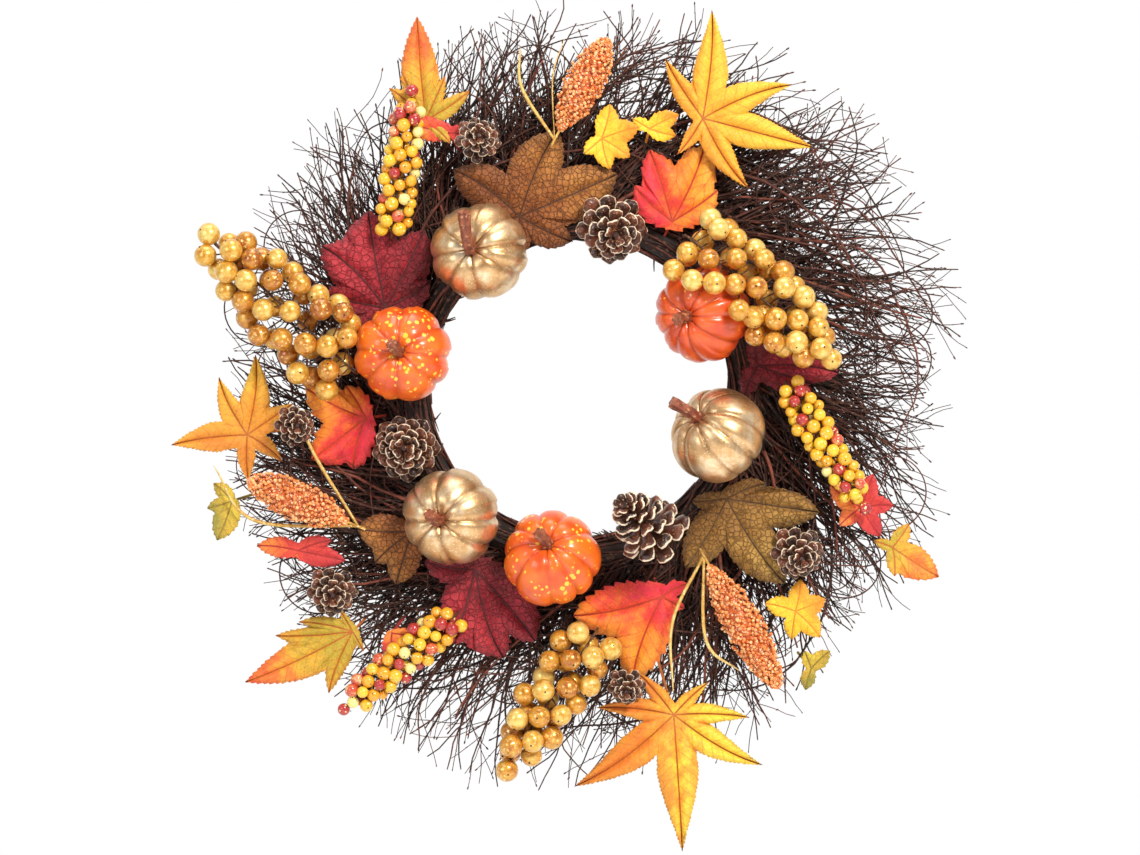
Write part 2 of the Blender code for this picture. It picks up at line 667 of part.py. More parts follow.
def make_pick(name, pair, material):
    """Two small leaves joined by the wire that they share."""
    first, second = (ahead(leaf.clock, leaf.out, leaf.stand) for leaf in pair)
    inward = (first - second).normalized() * 14
    pieces = [leaf_plate("leaf", leaf) for leaf in pair]
    pieces.append(wire("stem", [first + inward, first, second], STEM_D))
    dress(fuse(name, pieces), material, 30)


clear_scene()
parts = bpy.data.collections.new("harvest_door_wreath")
bpy.context.scene.collection.children.link(parts)

steel = finish("dark_wire", (0.045, 0.04, 0.035), 0.45, 0.9)
bark = finish("brushwood", (0.075, 0.032, 0.02), 0.85)
stalk_brown = finish("stalk", (0.12, 0.045, 0.022), 0.6)
scale_brown = finish("cone_scale", (0.13, 0.06, 0.03), 0.7)
berry_gold = finish("gold_berry", (0.72, 0.38, 0.06), 0.4)
berry_small = finish("small_berry", (0.78, 0.42, 0.05), 0.35)
seed_orange = finish("seed", (0.8, 0.24, 0.05), 0.7)

make_frame(steel)
make_loop(steel)
make_core(bark)
make_binding(steel)
for number in range(BUNDLE_COUNT):
    make_bundle(number, bark)
for spec in PUMPKINS:
    make_pumpkin(spec, finish(spec.name, spec.color, 0.35, spec.metal), stalk_brown)
for spec in CONES:
    make_cone(spec, scale_brown)
for spec in BIG_CLUSTERS:
    make_cluster(spec, BIG_BERRY_D, 8, 4, berry_gold)
for spec in SMALL_CLUSTERS:
    make_cluster(spec, SMALL_BERRY_D, 6, 3, berry_small)
for spec in SPIKES:
    make_spike(spec, seed_orange)
for group, color in ((STAR_LEAVES, (0.85, 0.4, 0.03)), (BROWN_LEAVES, (0.3, 0.12, 0.02)),
                     (BURGUNDY_LEAVES, (0.3, 0.012, 0.015)), (SUNSET_LEAVES, (0.8, 0.13, 0.02))):
    for name, leaf in group.items():
        dress(leaf_plate(name, leaf), finish(name, color, 0.6), 30)
for name, pair in LEAF_PICKS.items():
    make_pick(name, pair, finish(name, (0.85, 0.32, 0.03), 0.6))
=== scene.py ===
"""Visual model of the harvest door wreath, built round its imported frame.

The frame gives every place: the ring's middle and radius come from the wire frame's box, the
depth of the trimmings from the binding wire's box, and pumpkins and cones sit in the middle of
their own boxes. Sizes are in millimetres unless a name says otherwise, clock angles run
clockwise from the top as the viewer sees them, an "out" is how far beyond the ring's middle
circle something sits, and a "stand" is how far it stands forward of the binding wire.
"""

from __future__ import annotations

import json
import logging
import math
from dataclasses import dataclass
from enum import Enum
from typing import Sequence

import bmesh
import bpy
import numpy as np
from mathutils import Matrix, Vector

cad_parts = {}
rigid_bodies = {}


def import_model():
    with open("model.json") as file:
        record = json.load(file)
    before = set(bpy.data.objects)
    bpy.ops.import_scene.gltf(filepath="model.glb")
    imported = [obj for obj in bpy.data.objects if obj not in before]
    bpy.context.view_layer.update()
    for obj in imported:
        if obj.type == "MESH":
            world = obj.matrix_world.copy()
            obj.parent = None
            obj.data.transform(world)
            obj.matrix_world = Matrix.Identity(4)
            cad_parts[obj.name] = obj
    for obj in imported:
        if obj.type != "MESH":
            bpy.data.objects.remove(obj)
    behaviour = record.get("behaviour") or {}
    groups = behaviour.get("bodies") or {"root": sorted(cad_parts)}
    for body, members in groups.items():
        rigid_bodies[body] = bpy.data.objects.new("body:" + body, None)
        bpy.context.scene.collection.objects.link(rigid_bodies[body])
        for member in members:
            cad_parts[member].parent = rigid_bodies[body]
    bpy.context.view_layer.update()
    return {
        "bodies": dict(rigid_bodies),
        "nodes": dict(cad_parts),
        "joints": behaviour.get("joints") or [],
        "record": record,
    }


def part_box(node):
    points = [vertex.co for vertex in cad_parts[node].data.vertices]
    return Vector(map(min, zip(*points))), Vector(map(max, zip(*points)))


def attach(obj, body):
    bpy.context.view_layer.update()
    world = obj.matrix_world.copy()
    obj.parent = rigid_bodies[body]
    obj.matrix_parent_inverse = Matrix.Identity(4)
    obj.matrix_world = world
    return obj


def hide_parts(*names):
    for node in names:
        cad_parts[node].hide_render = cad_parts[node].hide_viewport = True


LOG = logging.getLogger("wreath")
MM = 0.001
GOLDEN_ANGLE = math.radians(137.5)
FRONT = np.array((0.0, -1.0, 0.0))

# Sizes shared with the frame.
HOOP_SPREAD = 26.0
WIRE_D = 3.2
FIT_GAP = 0.4
PUMPKIN_D = 60.0
PUMPKIN_H = 46.0
STALK_D = 8.4
BIG_BERRY_D = 14.0
SMALL_BERRY_D = 9.0
SPIKE_D = 25.0
STEM_D = 1.6


def linear(code: str) -> tuple[float, float, float, float]:
    """Turns an sRGB hex colour to linear light.

    Args:
        code: The colour as #rrggbb.

    Returns:
        Red, green, blue and an alpha of 1.
    """
    parts = [int(code[k:k + 2], 16) / 255 for k in (1, 3, 5)]
    light = [c / 12.92 if c <= 0.04045 else ((c + 0.055) / 1.055) ** 2.4 for c in parts]
    return (*light, 1.0)


def per_metre(size_mm: float) -> float:
    """Scale that makes a pattern repeat about once in size_mm."""
    return 1.0 / (size_mm * MM)


def unit(vector: Sequence[float]) -> np.ndarray:
    """The vector at length 1."""
    found = np.asarray(vector, float)
    return found / np.linalg.norm(found)


def add(tree: bpy.types.NodeTree, kind: str, inputs: dict | None = None,
        stops: Sequence[tuple[float, str]] = (), **settings: object) -> bpy.types.Node:
    """Adds a node with its settings and links.

    Args:
        tree: The node tree that it goes in.
        kind: The node's type, without its ShaderNode prefix.
        inputs: Values or sockets for its inputs, by name or number.
        stops: A colour ramp's places and hex colours.
        settings: Properties of the node itself.

    Returns:
        The new node.
    """
    item = tree.nodes.new("ShaderNode" + kind)
    for key, value in settings.items():
        setattr(item, key, value)
    for key, value in (inputs or {}).items():
        if isinstance(value, bpy.types.NodeSocket):
            tree.links.new(value, item.inputs[key])
        else:
            item.inputs[key].default_value = value
    if stops:
        ramp = item.color_ramp
        while len(ramp.elements) < len(stops):
            ramp.elements.new(1.0)
        for element, (place, code) in zip(ramp.elements, stops):
            element.position, element.color = place, linear(code)
    return item


# --------------------------------------------------------------------------- mesh making


class Pile:
    """Points, faces and point values gathered for one mesh."""

    def __init__(self) -> None:
        """Starts empty."""
        self.points: list[np.ndarray] = []
        self.tris: list[np.ndarray] = []
        self.quads: list[np.ndarray] = []
        self.values: dict[str, list[np.ndarray]] = {}
        self.count = 0

    def put(self, points: np.ndarray, tris: np.ndarray | None = None,
            quads: np.ndarray | None = None, **values: object) -> None:
        """Adds points with the faces between them.

        Args:
            points: Places in metres.
            tris: Three point numbers a face, counted from this call's first point.
            quads: Four point numbers a face.
            values: One number, or one for each point, by the value's name.
        """
        for kept, faces in ((self.tris, tris), (self.quads, quads)):
            if faces is not None and len(faces):
                kept.append(np.asarray(faces, np.int64) + self.count)
        for key, value in values.items():
            spread = np.broadcast_to(np.asarray(value, float), (len(points),))
            self.values.setdefault(key, []).append(spread)
        self.points.append(np.asarray(points, float))
        self.count += len(points)

    def tube(self, path: np.ndarray, radii: Sequence[float] | float, sides: int = 4,
             flute: Sequence[float] | None = None, **values: object) -> None:
        """Adds a closed tube.

        Args:
            path: Points of its middle line, in metres.
            radii: Its radius in metres, one for all or one for each point.
            sides: How many faces go round it.
            flute: Radius factors round the section, for ridges.
            values: One number, or one for each point of the path, by the value's name.
        """
        path = np.asarray(path, float)
        steps = len(path)
        radii = np.broadcast_to(np.asarray(radii, float), (steps,))
        tangent = np.gradient(path, axis=0)
        tangent /= np.linalg.norm(tangent, axis=1)[:, None]
        flat = np.eye(3)[int(np.argmin(np.ptp(path, axis=0)))]
        side = np.cross(tangent, flat)
        side /= np.linalg.norm(side, axis=1)[:, None]
        other = np.cross(side, tangent)
        angle = 2 * np.pi * np.arange(sides) / sides
        shape = np.ones(sides) if flute is None else np.asarray(flute, float)
        ring = side[:, None] * (np.cos(angle) * shape)[:, None]
        ring = ring + other[:, None] * (np.sin(angle) * shape)[:, None]
        skin = (path[:, None] + ring * radii[:, None, None]).reshape(-1, 3)
        near = np.arange(steps * sides).reshape(steps, sides)
        turn = np.roll(near, -1, axis=1)
        quads = np.stack([near[:-1], near[1:], turn[1:], turn[:-1]], axis=-1).reshape(-1, 4)
        first, last = steps * sides, steps * sides + 1
        caps = [(first, near[0, j], turn[0, j]) for j in range(sides)]
        caps += [(last, turn[-1, j], near[-1, j]) for j in range(sides)]
        spread = {}
        for key, value in values.items():
            line = np.broadcast_to(np.asarray(value, float), (steps,))
            spread[key] = np.concatenate([np.repeat(line, sides), line[[0, -1]]])
        self.put(np.vstack([skin, path[[0, -1]]]), np.array(caps), quads, **spread)

    def scatter(self, shape: tuple[np.ndarray, np.ndarray], frames: np.ndarray,
                places: np.ndarray, own: dict[str, np.ndarray] | None = None,
                **values: object) -> None:
        """Adds many turned and sized copies of one shape.

        Args:
            shape: The shape's points and triangles.
            frames: A 3 by 3 matrix for each copy, size included.
            places: Where each copy goes, in metres.
            own: Values that belong to the shape's points, the same on each copy.
            values: One number for each copy, by the value's name.
        """
        points, tris = shape
        copies = len(places)
        moved = np.einsum("kij,vj->kvi", frames, points) + np.asarray(places)[:, None]
        faces = tris[None] + (np.arange(copies) * len(points))[:, None, None]
        spread = {key: np.repeat(np.broadcast_to(value, (copies,)), len(points))
                  for key, value in values.items()}
        spread.update({key: np.tile(value, copies) for key, value in (own or {}).items()})
        self.put(moved.reshape(-1, 3), faces.reshape(-1, 3), **spread)

    def build(self, name: str, finish: Finish, creases: bool = False) -> bpy.types.Object:
        """Makes the object.

        Args:
            name: The piece's name.
            finish: What it is made of.
            creases: True if edges sharper than 50 degrees stay sharp.

        Returns:
            The new object, in the scene.
        """
        points = np.concatenate(self.points).astype(np.float32)
        quads = np.concatenate(self.quads) if self.quads else np.zeros((0, 4), np.int64)
        tris = np.concatenate(self.tris) if self.tris else np.zeros((0, 3), np.int64)
        corners = np.concatenate([quads.ravel(), tris.ravel()]).astype(np.int32)
        starts = np.concatenate([np.arange(len(quads)) * 4, len(quads) * 4 + np.arange(len(tris)) * 3])
        mesh = bpy.data.meshes.new(name)
        mesh.vertices.add(len(points))
        mesh.vertices.foreach_set("co", points.ravel())
        mesh.loops.add(len(corners))
        mesh.loops.foreach_set("vertex_index", corners)
        mesh.polygons.add(len(starts))
        mesh.polygons.foreach_set("loop_start", starts.astype(np.int32))
        mesh.update(calc_edges=True)
        mesh.validate()
        for key, parts in self.values.items():
            layer = mesh.attributes.new(key, "FLOAT", "POINT")
            layer.data.foreach_set("value", np.concatenate(parts).astype(np.float32))
        mesh.shade_smooth()
        if creases:
            mesh.set_sharp_from_angle(angle=math.radians(50))
        mesh.materials.append(finish.material())
        item = bpy.data.objects.new(name, mesh)
        bpy.context.scene.collection.objects.link(item)
        LOG.info("%s: %d faces", name, len(starts))
        return item


def ball(detail: int) -> tuple[np.ndarray, np.ndarray]:
    """Points and triangles of a round ball of radius 1.

    Args:
        detail: How often its 20 faces are split.

    Returns:
        The points and the triangles.
    """
    work = bmesh.new()
    bmesh.ops.create_icosphere(work, subdivisions=detail, radius=1.0)
    points = np.array([v.co for v in work.verts])
    tris = np.array([[v.index for v in face.verts] for face in work.faces])
    work.free()
    return points, tris


def smooth_path(knots: Sequence[Sequence[float]], steps: int) -> np.ndarray:
    """Runs a smooth curve through knots.

    Args:
        knots: The places that it goes through.
        steps: How many points it gets.

    Returns:
        The curve's points.
    """
    knots = np.asarray(knots, float)
    padded = np.vstack([2 * knots[0] - knots[1], knots, 2 * knots[-1] - knots[-2]])
    found = []
    for share in np.linspace(0, len(knots) - 1, steps):
        k = min(int(share), len(knots) - 2)
        t = share - k
        a, b, c, d = padded[k:k + 4]
        found.append(0.5 * (2 * b + (c - a) * t + (2 * a - 5 * b + 4 * c - d) * t * t
                            + (3 * b - a - 3 * c + d) * t ** 3))
    return np.array(found)


def frame_along(aim: Sequence[float]) -> np.ndarray:
    """Matrix whose third column points along aim.

    Args:
        aim: The direction of the third axis.

    Returns:
        A turn, with the axes as columns.
    """
    turn = Vector((0, 0, 1)).rotation_difference(Vector(unit(aim)))
    return np.array(turn.to_matrix())


@dataclass(frozen=True)
class Ring:
    """The wreath's ring, as the frame's boxes give it."""

    middle: tuple[float, float]
    radius: float
    front: float

    @classmethod
    def from_frame(cls) -> Ring:
        """Reads the ring from the boxes of the wire frame and the binding wire."""
        low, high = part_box("wire_frame")
        radius = (high.x - low.x) / 2 / MM - WIRE_D / 2 - HOOP_SPREAD / 2
        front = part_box("binding_wire")[0].y / MM - FIT_GAP
        return cls(((low.x + high.x) / 2 / MM, (low.z + high.z) / 2 / MM), radius, front)

    def at(self, clock: float, out: float, y: float) -> np.ndarray:
        """A place at a clock angle, out and depth, in millimetres.

        Args:
            clock: Its clock angle.
            out: How far beyond the ring's middle circle it is.
            y: Its depth.

        Returns:
            The place in the row's axes.
        """
        angle = math.radians(clock)
        far = self.radius + out
        return np.array((self.middle[0] + far * math.sin(angle), y, self.middle[1] + far * math.cos(angle)))

    def ahead(self, clock: float, out: float, stand: float) -> np.ndarray:
        """A place a stand forward of the binding wire, in millimetres."""
        return self.at(clock, out, self.front - stand)


def toward(clock: float | np.ndarray) -> np.ndarray:
    """Direction in the wreath's plane that points at a clock angle."""
    angle = np.radians(clock)
    return np.stack([np.sin(angle), np.zeros_like(angle), np.cos(angle)], axis=-1)


def middle_of(node: str) -> np.ndarray:
    """Middle of a CAD node's box, in millimetres."""
    low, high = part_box(node)
    return np.array((low + high) / 2) / MM


def settle(piece: bpy.types.Object, slot: str, *nodes: str, body: str = "wreath") -> None:
    """Lets a piece ride on its body and stand for its CAD nodes.

    Args:
        piece: The finished piece.
        slot: The record's material slot that it belongs to; not used.
        nodes: The CAD nodes that it stands for, if any.
        body: The body that carries it.
    """
    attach(piece, body)
    if nodes:
        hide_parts(*nodes)


# --------------------------------------------------------------------------- finishes


class Finish:
    """What a surface is made of; each kind wires its own nodes in paint()."""

    name: str
    _made: dict[str, bpy.types.Material] = {}

    def material(self) -> bpy.types.Material:
        """The material, made on first use."""
        if self.name not in self._made:
            material = bpy.data.materials.new(self.name)
            material.use_nodes = True
            tree = material.node_tree
            self.paint(tree, tree.nodes["Principled BSDF"])
            self._made[self.name] = material
        return self._made[self.name]

    def paint(self, tree: bpy.types.NodeTree, shader: bpy.types.Node) -> None:
        """Wires the nodes.

        Args:
            tree: The material's node tree.
            shader: Its Principled shader.
        """
        raise NotImplementedError


@dataclass(frozen=True)
class GoldPaint(Finish):
    """Champagne gold lacquer sprayed and brushed on moulded foam: soft metal with glitter."""

    name: str = "champagne_gold_lacquer_on_foam"
    light: str = "#f8e8ca"
    body: str = "#dcb585"
    # Painted shade: the dark colour laid into the grooves and dimples.
    groove: str = "#936438"
    brush_mm: float = 12.0
    glitter_mm: float = 0.6

    def paint(self, tree: bpy.types.NodeTree, shader: bpy.types.Node) -> None:
        """Brushed patches, painted shade in the grooves and dimples, and glitter as flecks of random
        brightness.
        """
        spot = add(tree, "TexCoord").outputs["Object"]
        brush = add(tree, "TexNoise", {"Vector": spot, "Scale": per_metre(self.brush_mm), "Detail": 4.0,
                                       "Roughness": 0.62})
        patches = add(tree, "ValToRGB", {"Fac": brush.outputs["Fac"]},
                      ((0.3, "#c29462"), (0.5, self.body), (0.72, self.light)))
        # Painted shade: the mesh's crease value darkens the grooves and dimples toward the dark colour.
        groove = add(tree, "Attribute", attribute_name="groove").outputs["Fac"]
        shade = add(tree, "MapRange", {"Value": groove, "From Min": 0.15, "From Max": 1.0, "To Max": 0.85})
        body = add(tree, "Mix", {0: shade.outputs["Result"], 6: patches.outputs["Color"],
                                 7: linear(self.groove)}, data_type="RGBA")
        flecks = add(tree, "TexVoronoi", {"Vector": spot, "Scale": per_metre(self.glitter_mm)})
        bright = add(tree, "SeparateColor", {"Color": flecks.outputs["Color"]}).outputs["Red"]
        lit = add(tree, "MapRange", {"Value": bright, "From Min": 0.93, "From Max": 0.96, "To Max": 0.6})
        color = add(tree, "Mix", {0: lit.outputs["Result"], 6: body.outputs[2], 7: linear("#fff0c8")},
                    data_type="RGBA")
        rough = add(tree, "MapRange", {"Value": bright, "To Min": 0.3, "To Max": 0.4})
        relief = add(tree, "Math", {0: flecks.outputs["Distance"], 1: 0.08, 2: brush.outputs["Fac"]},
                     operation="MULTIPLY_ADD")
        bump = add(tree, "Bump", {"Height": relief.outputs[0], "Strength": 0.2, "Distance": 0.5 * MM})
        shader.inputs["Metallic"].default_value = 0.88
        tree.links.new(color.outputs[2], shader.inputs["Base Color"])
        tree.links.new(rough.outputs["Result"], shader.inputs["Roughness"])
        tree.links.new(bump.outputs["Normal"], shader.inputs["Normal"])


@dataclass(frozen=True)
class SpeckledLacquer(Finish):
    """Gloss orange lacquer on moulded foam, flicked with yellow paint: wet-looking skin."""

    name: str = "speckled_orange_lacquer_on_foam"
    body: str = "#f2701a"
    deep: str = "#d94a0c"
    # Painted shade: the dark red laid into the grooves and dimples.
    groove: str = "#b93206"
    fleck: str = "#ffcb3c"
    fleck_mm: float = 3.6
    share: float = 0.95

    def paint(self, tree: bpy.types.NodeTree, shader: bpy.types.Node) -> None:
        """Cloudy orange, painted shade in dark red down the grooves and in the dimples, and yellow flecks of
        random size that leave gaps.
        """
        spot = add(tree, "TexCoord").outputs["Object"]
        cloud = add(tree, "TexNoise", {"Vector": spot, "Scale": per_metre(15.0), "Detail": 3.0})
        skin = add(tree, "ValToRGB", {"Fac": cloud.outputs["Fac"]}, ((0.35, self.deep), (0.62, self.body)))
        # Painted shade: the mesh's crease value darkens the grooves and dimples toward the dark red.
        groove = add(tree, "Attribute", attribute_name="groove").outputs["Fac"]
        shade = add(tree, "MapRange", {"Value": groove, "From Min": 0.2, "From Max": 1.0, "To Max": 0.7})
        body = add(tree, "Mix", {0: shade.outputs["Result"], 6: skin.outputs["Color"],
                                 7: linear(self.groove)}, data_type="RGBA")
        bend = add(tree, "TexNoise", {"Vector": spot, "Scale": per_metre(3.0)})
        offset = add(tree, "VectorMath", {0: bend.outputs["Color"], 1: (0.0016,) * 3}, operation="MULTIPLY")
        bent = add(tree, "VectorMath", {0: spot, 1: offset.outputs[0]}, operation="ADD")
        cells = add(tree, "TexVoronoi", {"Vector": bent.outputs[0], "Scale": per_metre(self.fleck_mm)})
        chance = add(tree, "SeparateColor", {"Color": cells.outputs["Color"]}).outputs["Green"]
        band = add(tree, "TexNoise", {"Vector": spot, "Scale": per_metre(22.0)})
        crowd = add(tree, "Math", {0: band.outputs["Fac"], 1: 1.5, 2: chance}, operation="MULTIPLY_ADD")
        size = add(tree, "MapRange", {"Value": crowd.outputs[0], "From Min": 1.75 - self.share,
                                      "From Max": 1.95, "To Max": 0.5})
        inside = add(tree, "Math", {0: size.outputs["Result"], 1: cells.outputs["Distance"]},
                     operation="SUBTRACT")
        mark = add(tree, "MapRange", {"Value": inside.outputs[0], "From Max": 0.06})
        color = add(tree, "Mix", {0: mark.outputs["Result"], 6: body.outputs[2], 7: linear(self.fleck)},
                    data_type="RGBA")
        pits = add(tree, "TexNoise", {"Vector": spot, "Scale": per_metre(1.6), "Detail": 2.0})
        relief = add(tree, "MapRange", {"Value": mark.outputs["Result"], "To Max": 0.5})
        height = add(tree, "Math", {0: pits.outputs["Fac"], 1: relief.outputs["Result"]}, operation="ADD")
        bump = add(tree, "Bump", {"Height": height.outputs[0], "Strength": 0.3, "Distance": 0.35 * MM})
        shader.inputs["Roughness"].default_value = 0.34
        shader.inputs["IOR"].default_value = 1.48
        shader.inputs["Coat Weight"].default_value = 0.55
        shader.inputs["Coat Roughness"].default_value = 0.14
        tree.links.new(color.outputs[2], shader.inputs["Base Color"])
        tree.links.new(bump.outputs["Normal"], shader.inputs["Normal"])


@dataclass(frozen=True)
class Mottled(Finish):
    """Coating whose colour runs over a ramp by each copy's own tint, mottled at a real size."""

    name: str
    stops: tuple[tuple[float, str], ...]
    fleck: str
    mottle_mm: float
    fleck_mm: float
    roughness: float = 0.4
    coat: float = 0.0
    spread: float = 0.35
    fleck_share: float = 0.2
    relief_mm: float = 0.2
    # Colour of the pale rim: partly glitter frost, partly a painted highlight.
    rim: str = ""
    metallic: float = 0.0

    def paint(self, tree: bpy.types.NodeTree, shader: bpy.types.Node) -> None:
        """Tint plus mottling picks the colour; flecks sit in some cells; a rim may get a pale frost that is
        partly glitter and partly a painted highlight.
        """
        spot = add(tree, "TexCoord").outputs["Object"]
        tint = add(tree, "Attribute", attribute_name="tint").outputs["Fac"]
        mottle = add(tree, "TexNoise", {"Vector": spot, "Scale": per_metre(self.mottle_mm), "Detail": 3.0})
        swing = add(tree, "MapRange", {"Value": mottle.outputs["Fac"], "From Min": 0.3, "From Max": 0.7,
                                       "To Min": -self.spread / 2, "To Max": self.spread / 2})
        pick = add(tree, "Math", {0: tint, 1: swing.outputs["Result"]}, operation="ADD", use_clamp=True)
        ramp = add(tree, "ValToRGB", {"Fac": pick.outputs[0]}, self.stops)
        cells = add(tree, "TexVoronoi", {"Vector": spot, "Scale": per_metre(self.fleck_mm)})
        chance = add(tree, "SeparateColor", {"Color": cells.outputs["Color"]}).outputs["Red"]
        lit = add(tree, "MapRange", {"Value": chance, "From Min": 1 - self.fleck_share,
                                     "From Max": 1 - self.fleck_share * 0.6, "To Max": 0.8})
        color = add(tree, "Mix", {0: lit.outputs["Result"], 6: ramp.outputs["Color"],
                                  7: linear(self.fleck)}, data_type="RGBA")
        # Pale rim: partly glitter frost, partly a painted highlight on the lips' edges.
        if self.rim:
            edge = add(tree, "Attribute", attribute_name="rim").outputs["Fac"]
            frost_and_highlight = add(tree, "MapRange", {"Value": edge, "From Min": 0.55, "From Max": 1.0})
            broken = add(tree, "Math", {0: frost_and_highlight.outputs["Result"], 1: mottle.outputs["Fac"]},
                         operation="MULTIPLY")
            gain = add(tree, "MapRange", {"Value": broken.outputs[0], "From Min": 0.24, "From Max": 0.42,
                                          "To Max": 0.95})
            color = add(tree, "Mix", {0: gain.outputs["Result"], 6: color.outputs[2],
                                      7: linear(self.rim)}, data_type="RGBA")
        height = add(tree, "Math", {0: mottle.outputs["Fac"], 1: cells.outputs["Distance"]}, operation="ADD")
        bump = add(tree, "Bump", {"Height": height.outputs[0], "Strength": 0.4,
                                  "Distance": self.relief_mm * MM})
        rough = add(tree, "MapRange", {"Value": mottle.outputs["Fac"], "To Min": self.roughness - 0.1,
                                       "To Max": self.roughness + 0.1})
        shader.inputs["Coat Weight"].default_value = self.coat
        shader.inputs["Coat Roughness"].default_value = 0.12
        shader.inputs["Metallic"].default_value = self.metallic
        tree.links.new(rough.outputs["Result"], shader.inputs["Roughness"])
        tree.links.new(color.outputs[2], shader.inputs["Base Color"])
        tree.links.new(bump.outputs["Normal"], shader.inputs["Normal"])


class Veins(Enum):
    """How a leaf's side veins run."""

    FEATHER = "feather"
    NET = "net"
    CRINKLE = "crinkle"


@dataclass(frozen=True)
class LeafCloth(Finish):
    """Heat-pressed, printed leaf cloth: dry surface, printed veins pressed into relief."""

    name: str
    veins: Veins
    stops: tuple[tuple[float, str], ...]
    vein: str
    edge: str
    vein_pitch_mm: float = 7.0
    vein_mm: float = 0.8
    vein_share: float = 0.45
    net_mm: float = 4.0
    net_share: float = 0.3
    sheen: float = 0.15
    edge_share: float = 0.5
    relief_mm: float = 0.5

    def paint(self, tree: bpy.types.NodeTree, shader: bpy.types.Node) -> None:
        """A print that fades across the leaf, V veins off each midrib, and a fine net."""
        spot = add(tree, "TexCoord").outputs["Object"]
        read = {key: add(tree, "Attribute", attribute_name=key).outputs["Fac"]
                for key in ("rib", "run", "rim", "shade")}
        cloud = add(tree, "TexNoise", {"Vector": spot, "Scale": per_metre(11.0), "Detail": 5.0,
                                       "Roughness": 0.6})
        swing = add(tree, "MapRange", {"Value": cloud.outputs["Fac"], "From Min": 0.3, "From Max": 0.7,
                                       "To Min": -0.22, "To Max": 0.22})
        pick = add(tree, "Math", {0: read["shade"], 1: swing.outputs["Result"]}, operation="ADD",
                   use_clamp=True)
        print_ = add(tree, "ValToRGB", {"Fac": pick.outputs[0]}, self.stops)
        rim = add(tree, "MapRange", {"Value": read["rim"], "From Min": 0.72, "From Max": 1.0,
                                     "To Max": self.edge_share})
        edged = add(tree, "Mix", {0: rim.outputs["Result"], 6: print_.outputs["Color"],
                                  7: linear(self.edge)}, data_type="RGBA")
        slant = 0.9 if self.veins is Veins.FEATHER else 0.6
        lag = add(tree, "Math", {0: read["rib"], 1: -slant, 2: read["run"]}, operation="MULTIPLY_ADD")
        wave = add(tree, "Math", {0: cloud.outputs["Fac"], 1: 3.0, 2: lag.outputs[0]},
                   operation="MULTIPLY_ADD")
        count = add(tree, "Math", {0: wave.outputs[0], 1: 1.0 / self.vein_pitch_mm}, operation="MULTIPLY")
        fold = add(tree, "Math", {0: count.outputs[0], 1: 0.5}, operation="PINGPONG")
        thin = self.vein_mm * 0.45 / self.vein_pitch_mm
        side = add(tree, "MapRange", {"Value": fold.outputs[0], "From Min": thin * 2.2,
                                      "From Max": thin * 0.4, "To Max": self.vein_share})
        midrib = add(tree, "MapRange", {"Value": read["rib"], "From Min": self.vein_mm,
                                        "From Max": self.vein_mm * 0.35})
        veins = add(tree, "Math", {0: side.outputs["Result"], 1: midrib.outputs["Result"]},
                    operation="MAXIMUM")
        net = add(tree, "TexVoronoi", {"Vector": spot, "Scale": per_metre(self.net_mm)},
                  feature="DISTANCE_TO_EDGE")
        lines = add(tree, "MapRange", {"Value": net.outputs["Distance"], "From Min": 0.09, "From Max": 0.01,
                                       "To Max": self.net_share})
        marks = add(tree, "Math", {0: veins.outputs[0], 1: lines.outputs["Result"]}, operation="MAXIMUM")
        veined = add(tree, "Mix", {0: marks.outputs[0], 6: edged.outputs[2], 7: linear(self.vein)},
                     data_type="RGBA")
        dust = add(tree, "TexNoise", {"Vector": spot, "Scale": per_metre(1.3), "Detail": 2.0})
        grain = add(tree, "MapRange", {"Value": dust.outputs["Fac"], "From Min": 0.25, "From Max": 0.75,
                                       "To Min": 0.8, "To Max": 1.18})
        color = add(tree, "VectorMath", {0: veined.outputs[2], 1: grain.outputs["Result"]},
                    operation="MULTIPLY")
        pressed = add(tree, "Math", {0: marks.outputs[0], 1: -0.8, 2: cloud.outputs["Fac"]},
                      operation="MULTIPLY_ADD")
        height = add(tree, "Math", {0: dust.outputs["Fac"], 1: 0.35, 2: pressed.outputs[0]},
                     operation="MULTIPLY_ADD")
        bump = add(tree, "Bump", {"Height": height.outputs[0], "Strength": 0.75,
                                  "Distance": self.relief_mm * MM})
        shader.inputs["Roughness"].default_value = 0.62
        shader.inputs["Sheen Weight"].default_value = self.sheen
        shader.inputs["Sheen Roughness"].default_value = 0.45
        tree.links.new(color.outputs[0], shader.inputs["Base Color"])
        tree.links.new(bump.outputs["Normal"], shader.inputs["Normal"])


@dataclass(frozen=True)
class AnnealedWire(Finish):
    """Soft black annealed wire: dull dark metal with brown scale."""

    name: str = "black_annealed_wire"

    def paint(self, tree: bpy.types.NodeTree, shader: bpy.types.Node) -> None:
        """Grey metal with patches of brown scale and fine drawing marks."""
        spot = add(tree, "TexCoord").outputs["Object"]
        scale = add(tree, "TexNoise", {"Vector": spot, "Scale": per_metre(6.0), "Detail": 5.0})
        color = add(tree, "ValToRGB", {"Fac": scale.outputs["Fac"]},
                    ((0.38, "#2b2a29"), (0.55, "#3c3530"), (0.7, "#5a4234")))
        rough = add(tree, "MapRange", {"Value": scale.outputs["Fac"], "To Min": 0.32, "To Max": 0.7})
        fine = add(tree, "TexNoise", {"Vector": spot, "Scale": per_metre(0.8), "Detail": 2.0})
        bump = add(tree, "Bump", {"Height": fine.outputs["Fac"], "Strength": 0.3, "Distance": 0.1 * MM})
        shader.inputs["Metallic"].default_value = 0.85
        tree.links.new(color.outputs["Color"], shader.inputs["Base Color"])
        tree.links.new(rough.outputs["Result"], shader.inputs["Roughness"])
        tree.links.new(bump.outputs["Normal"], shader.inputs["Normal"])


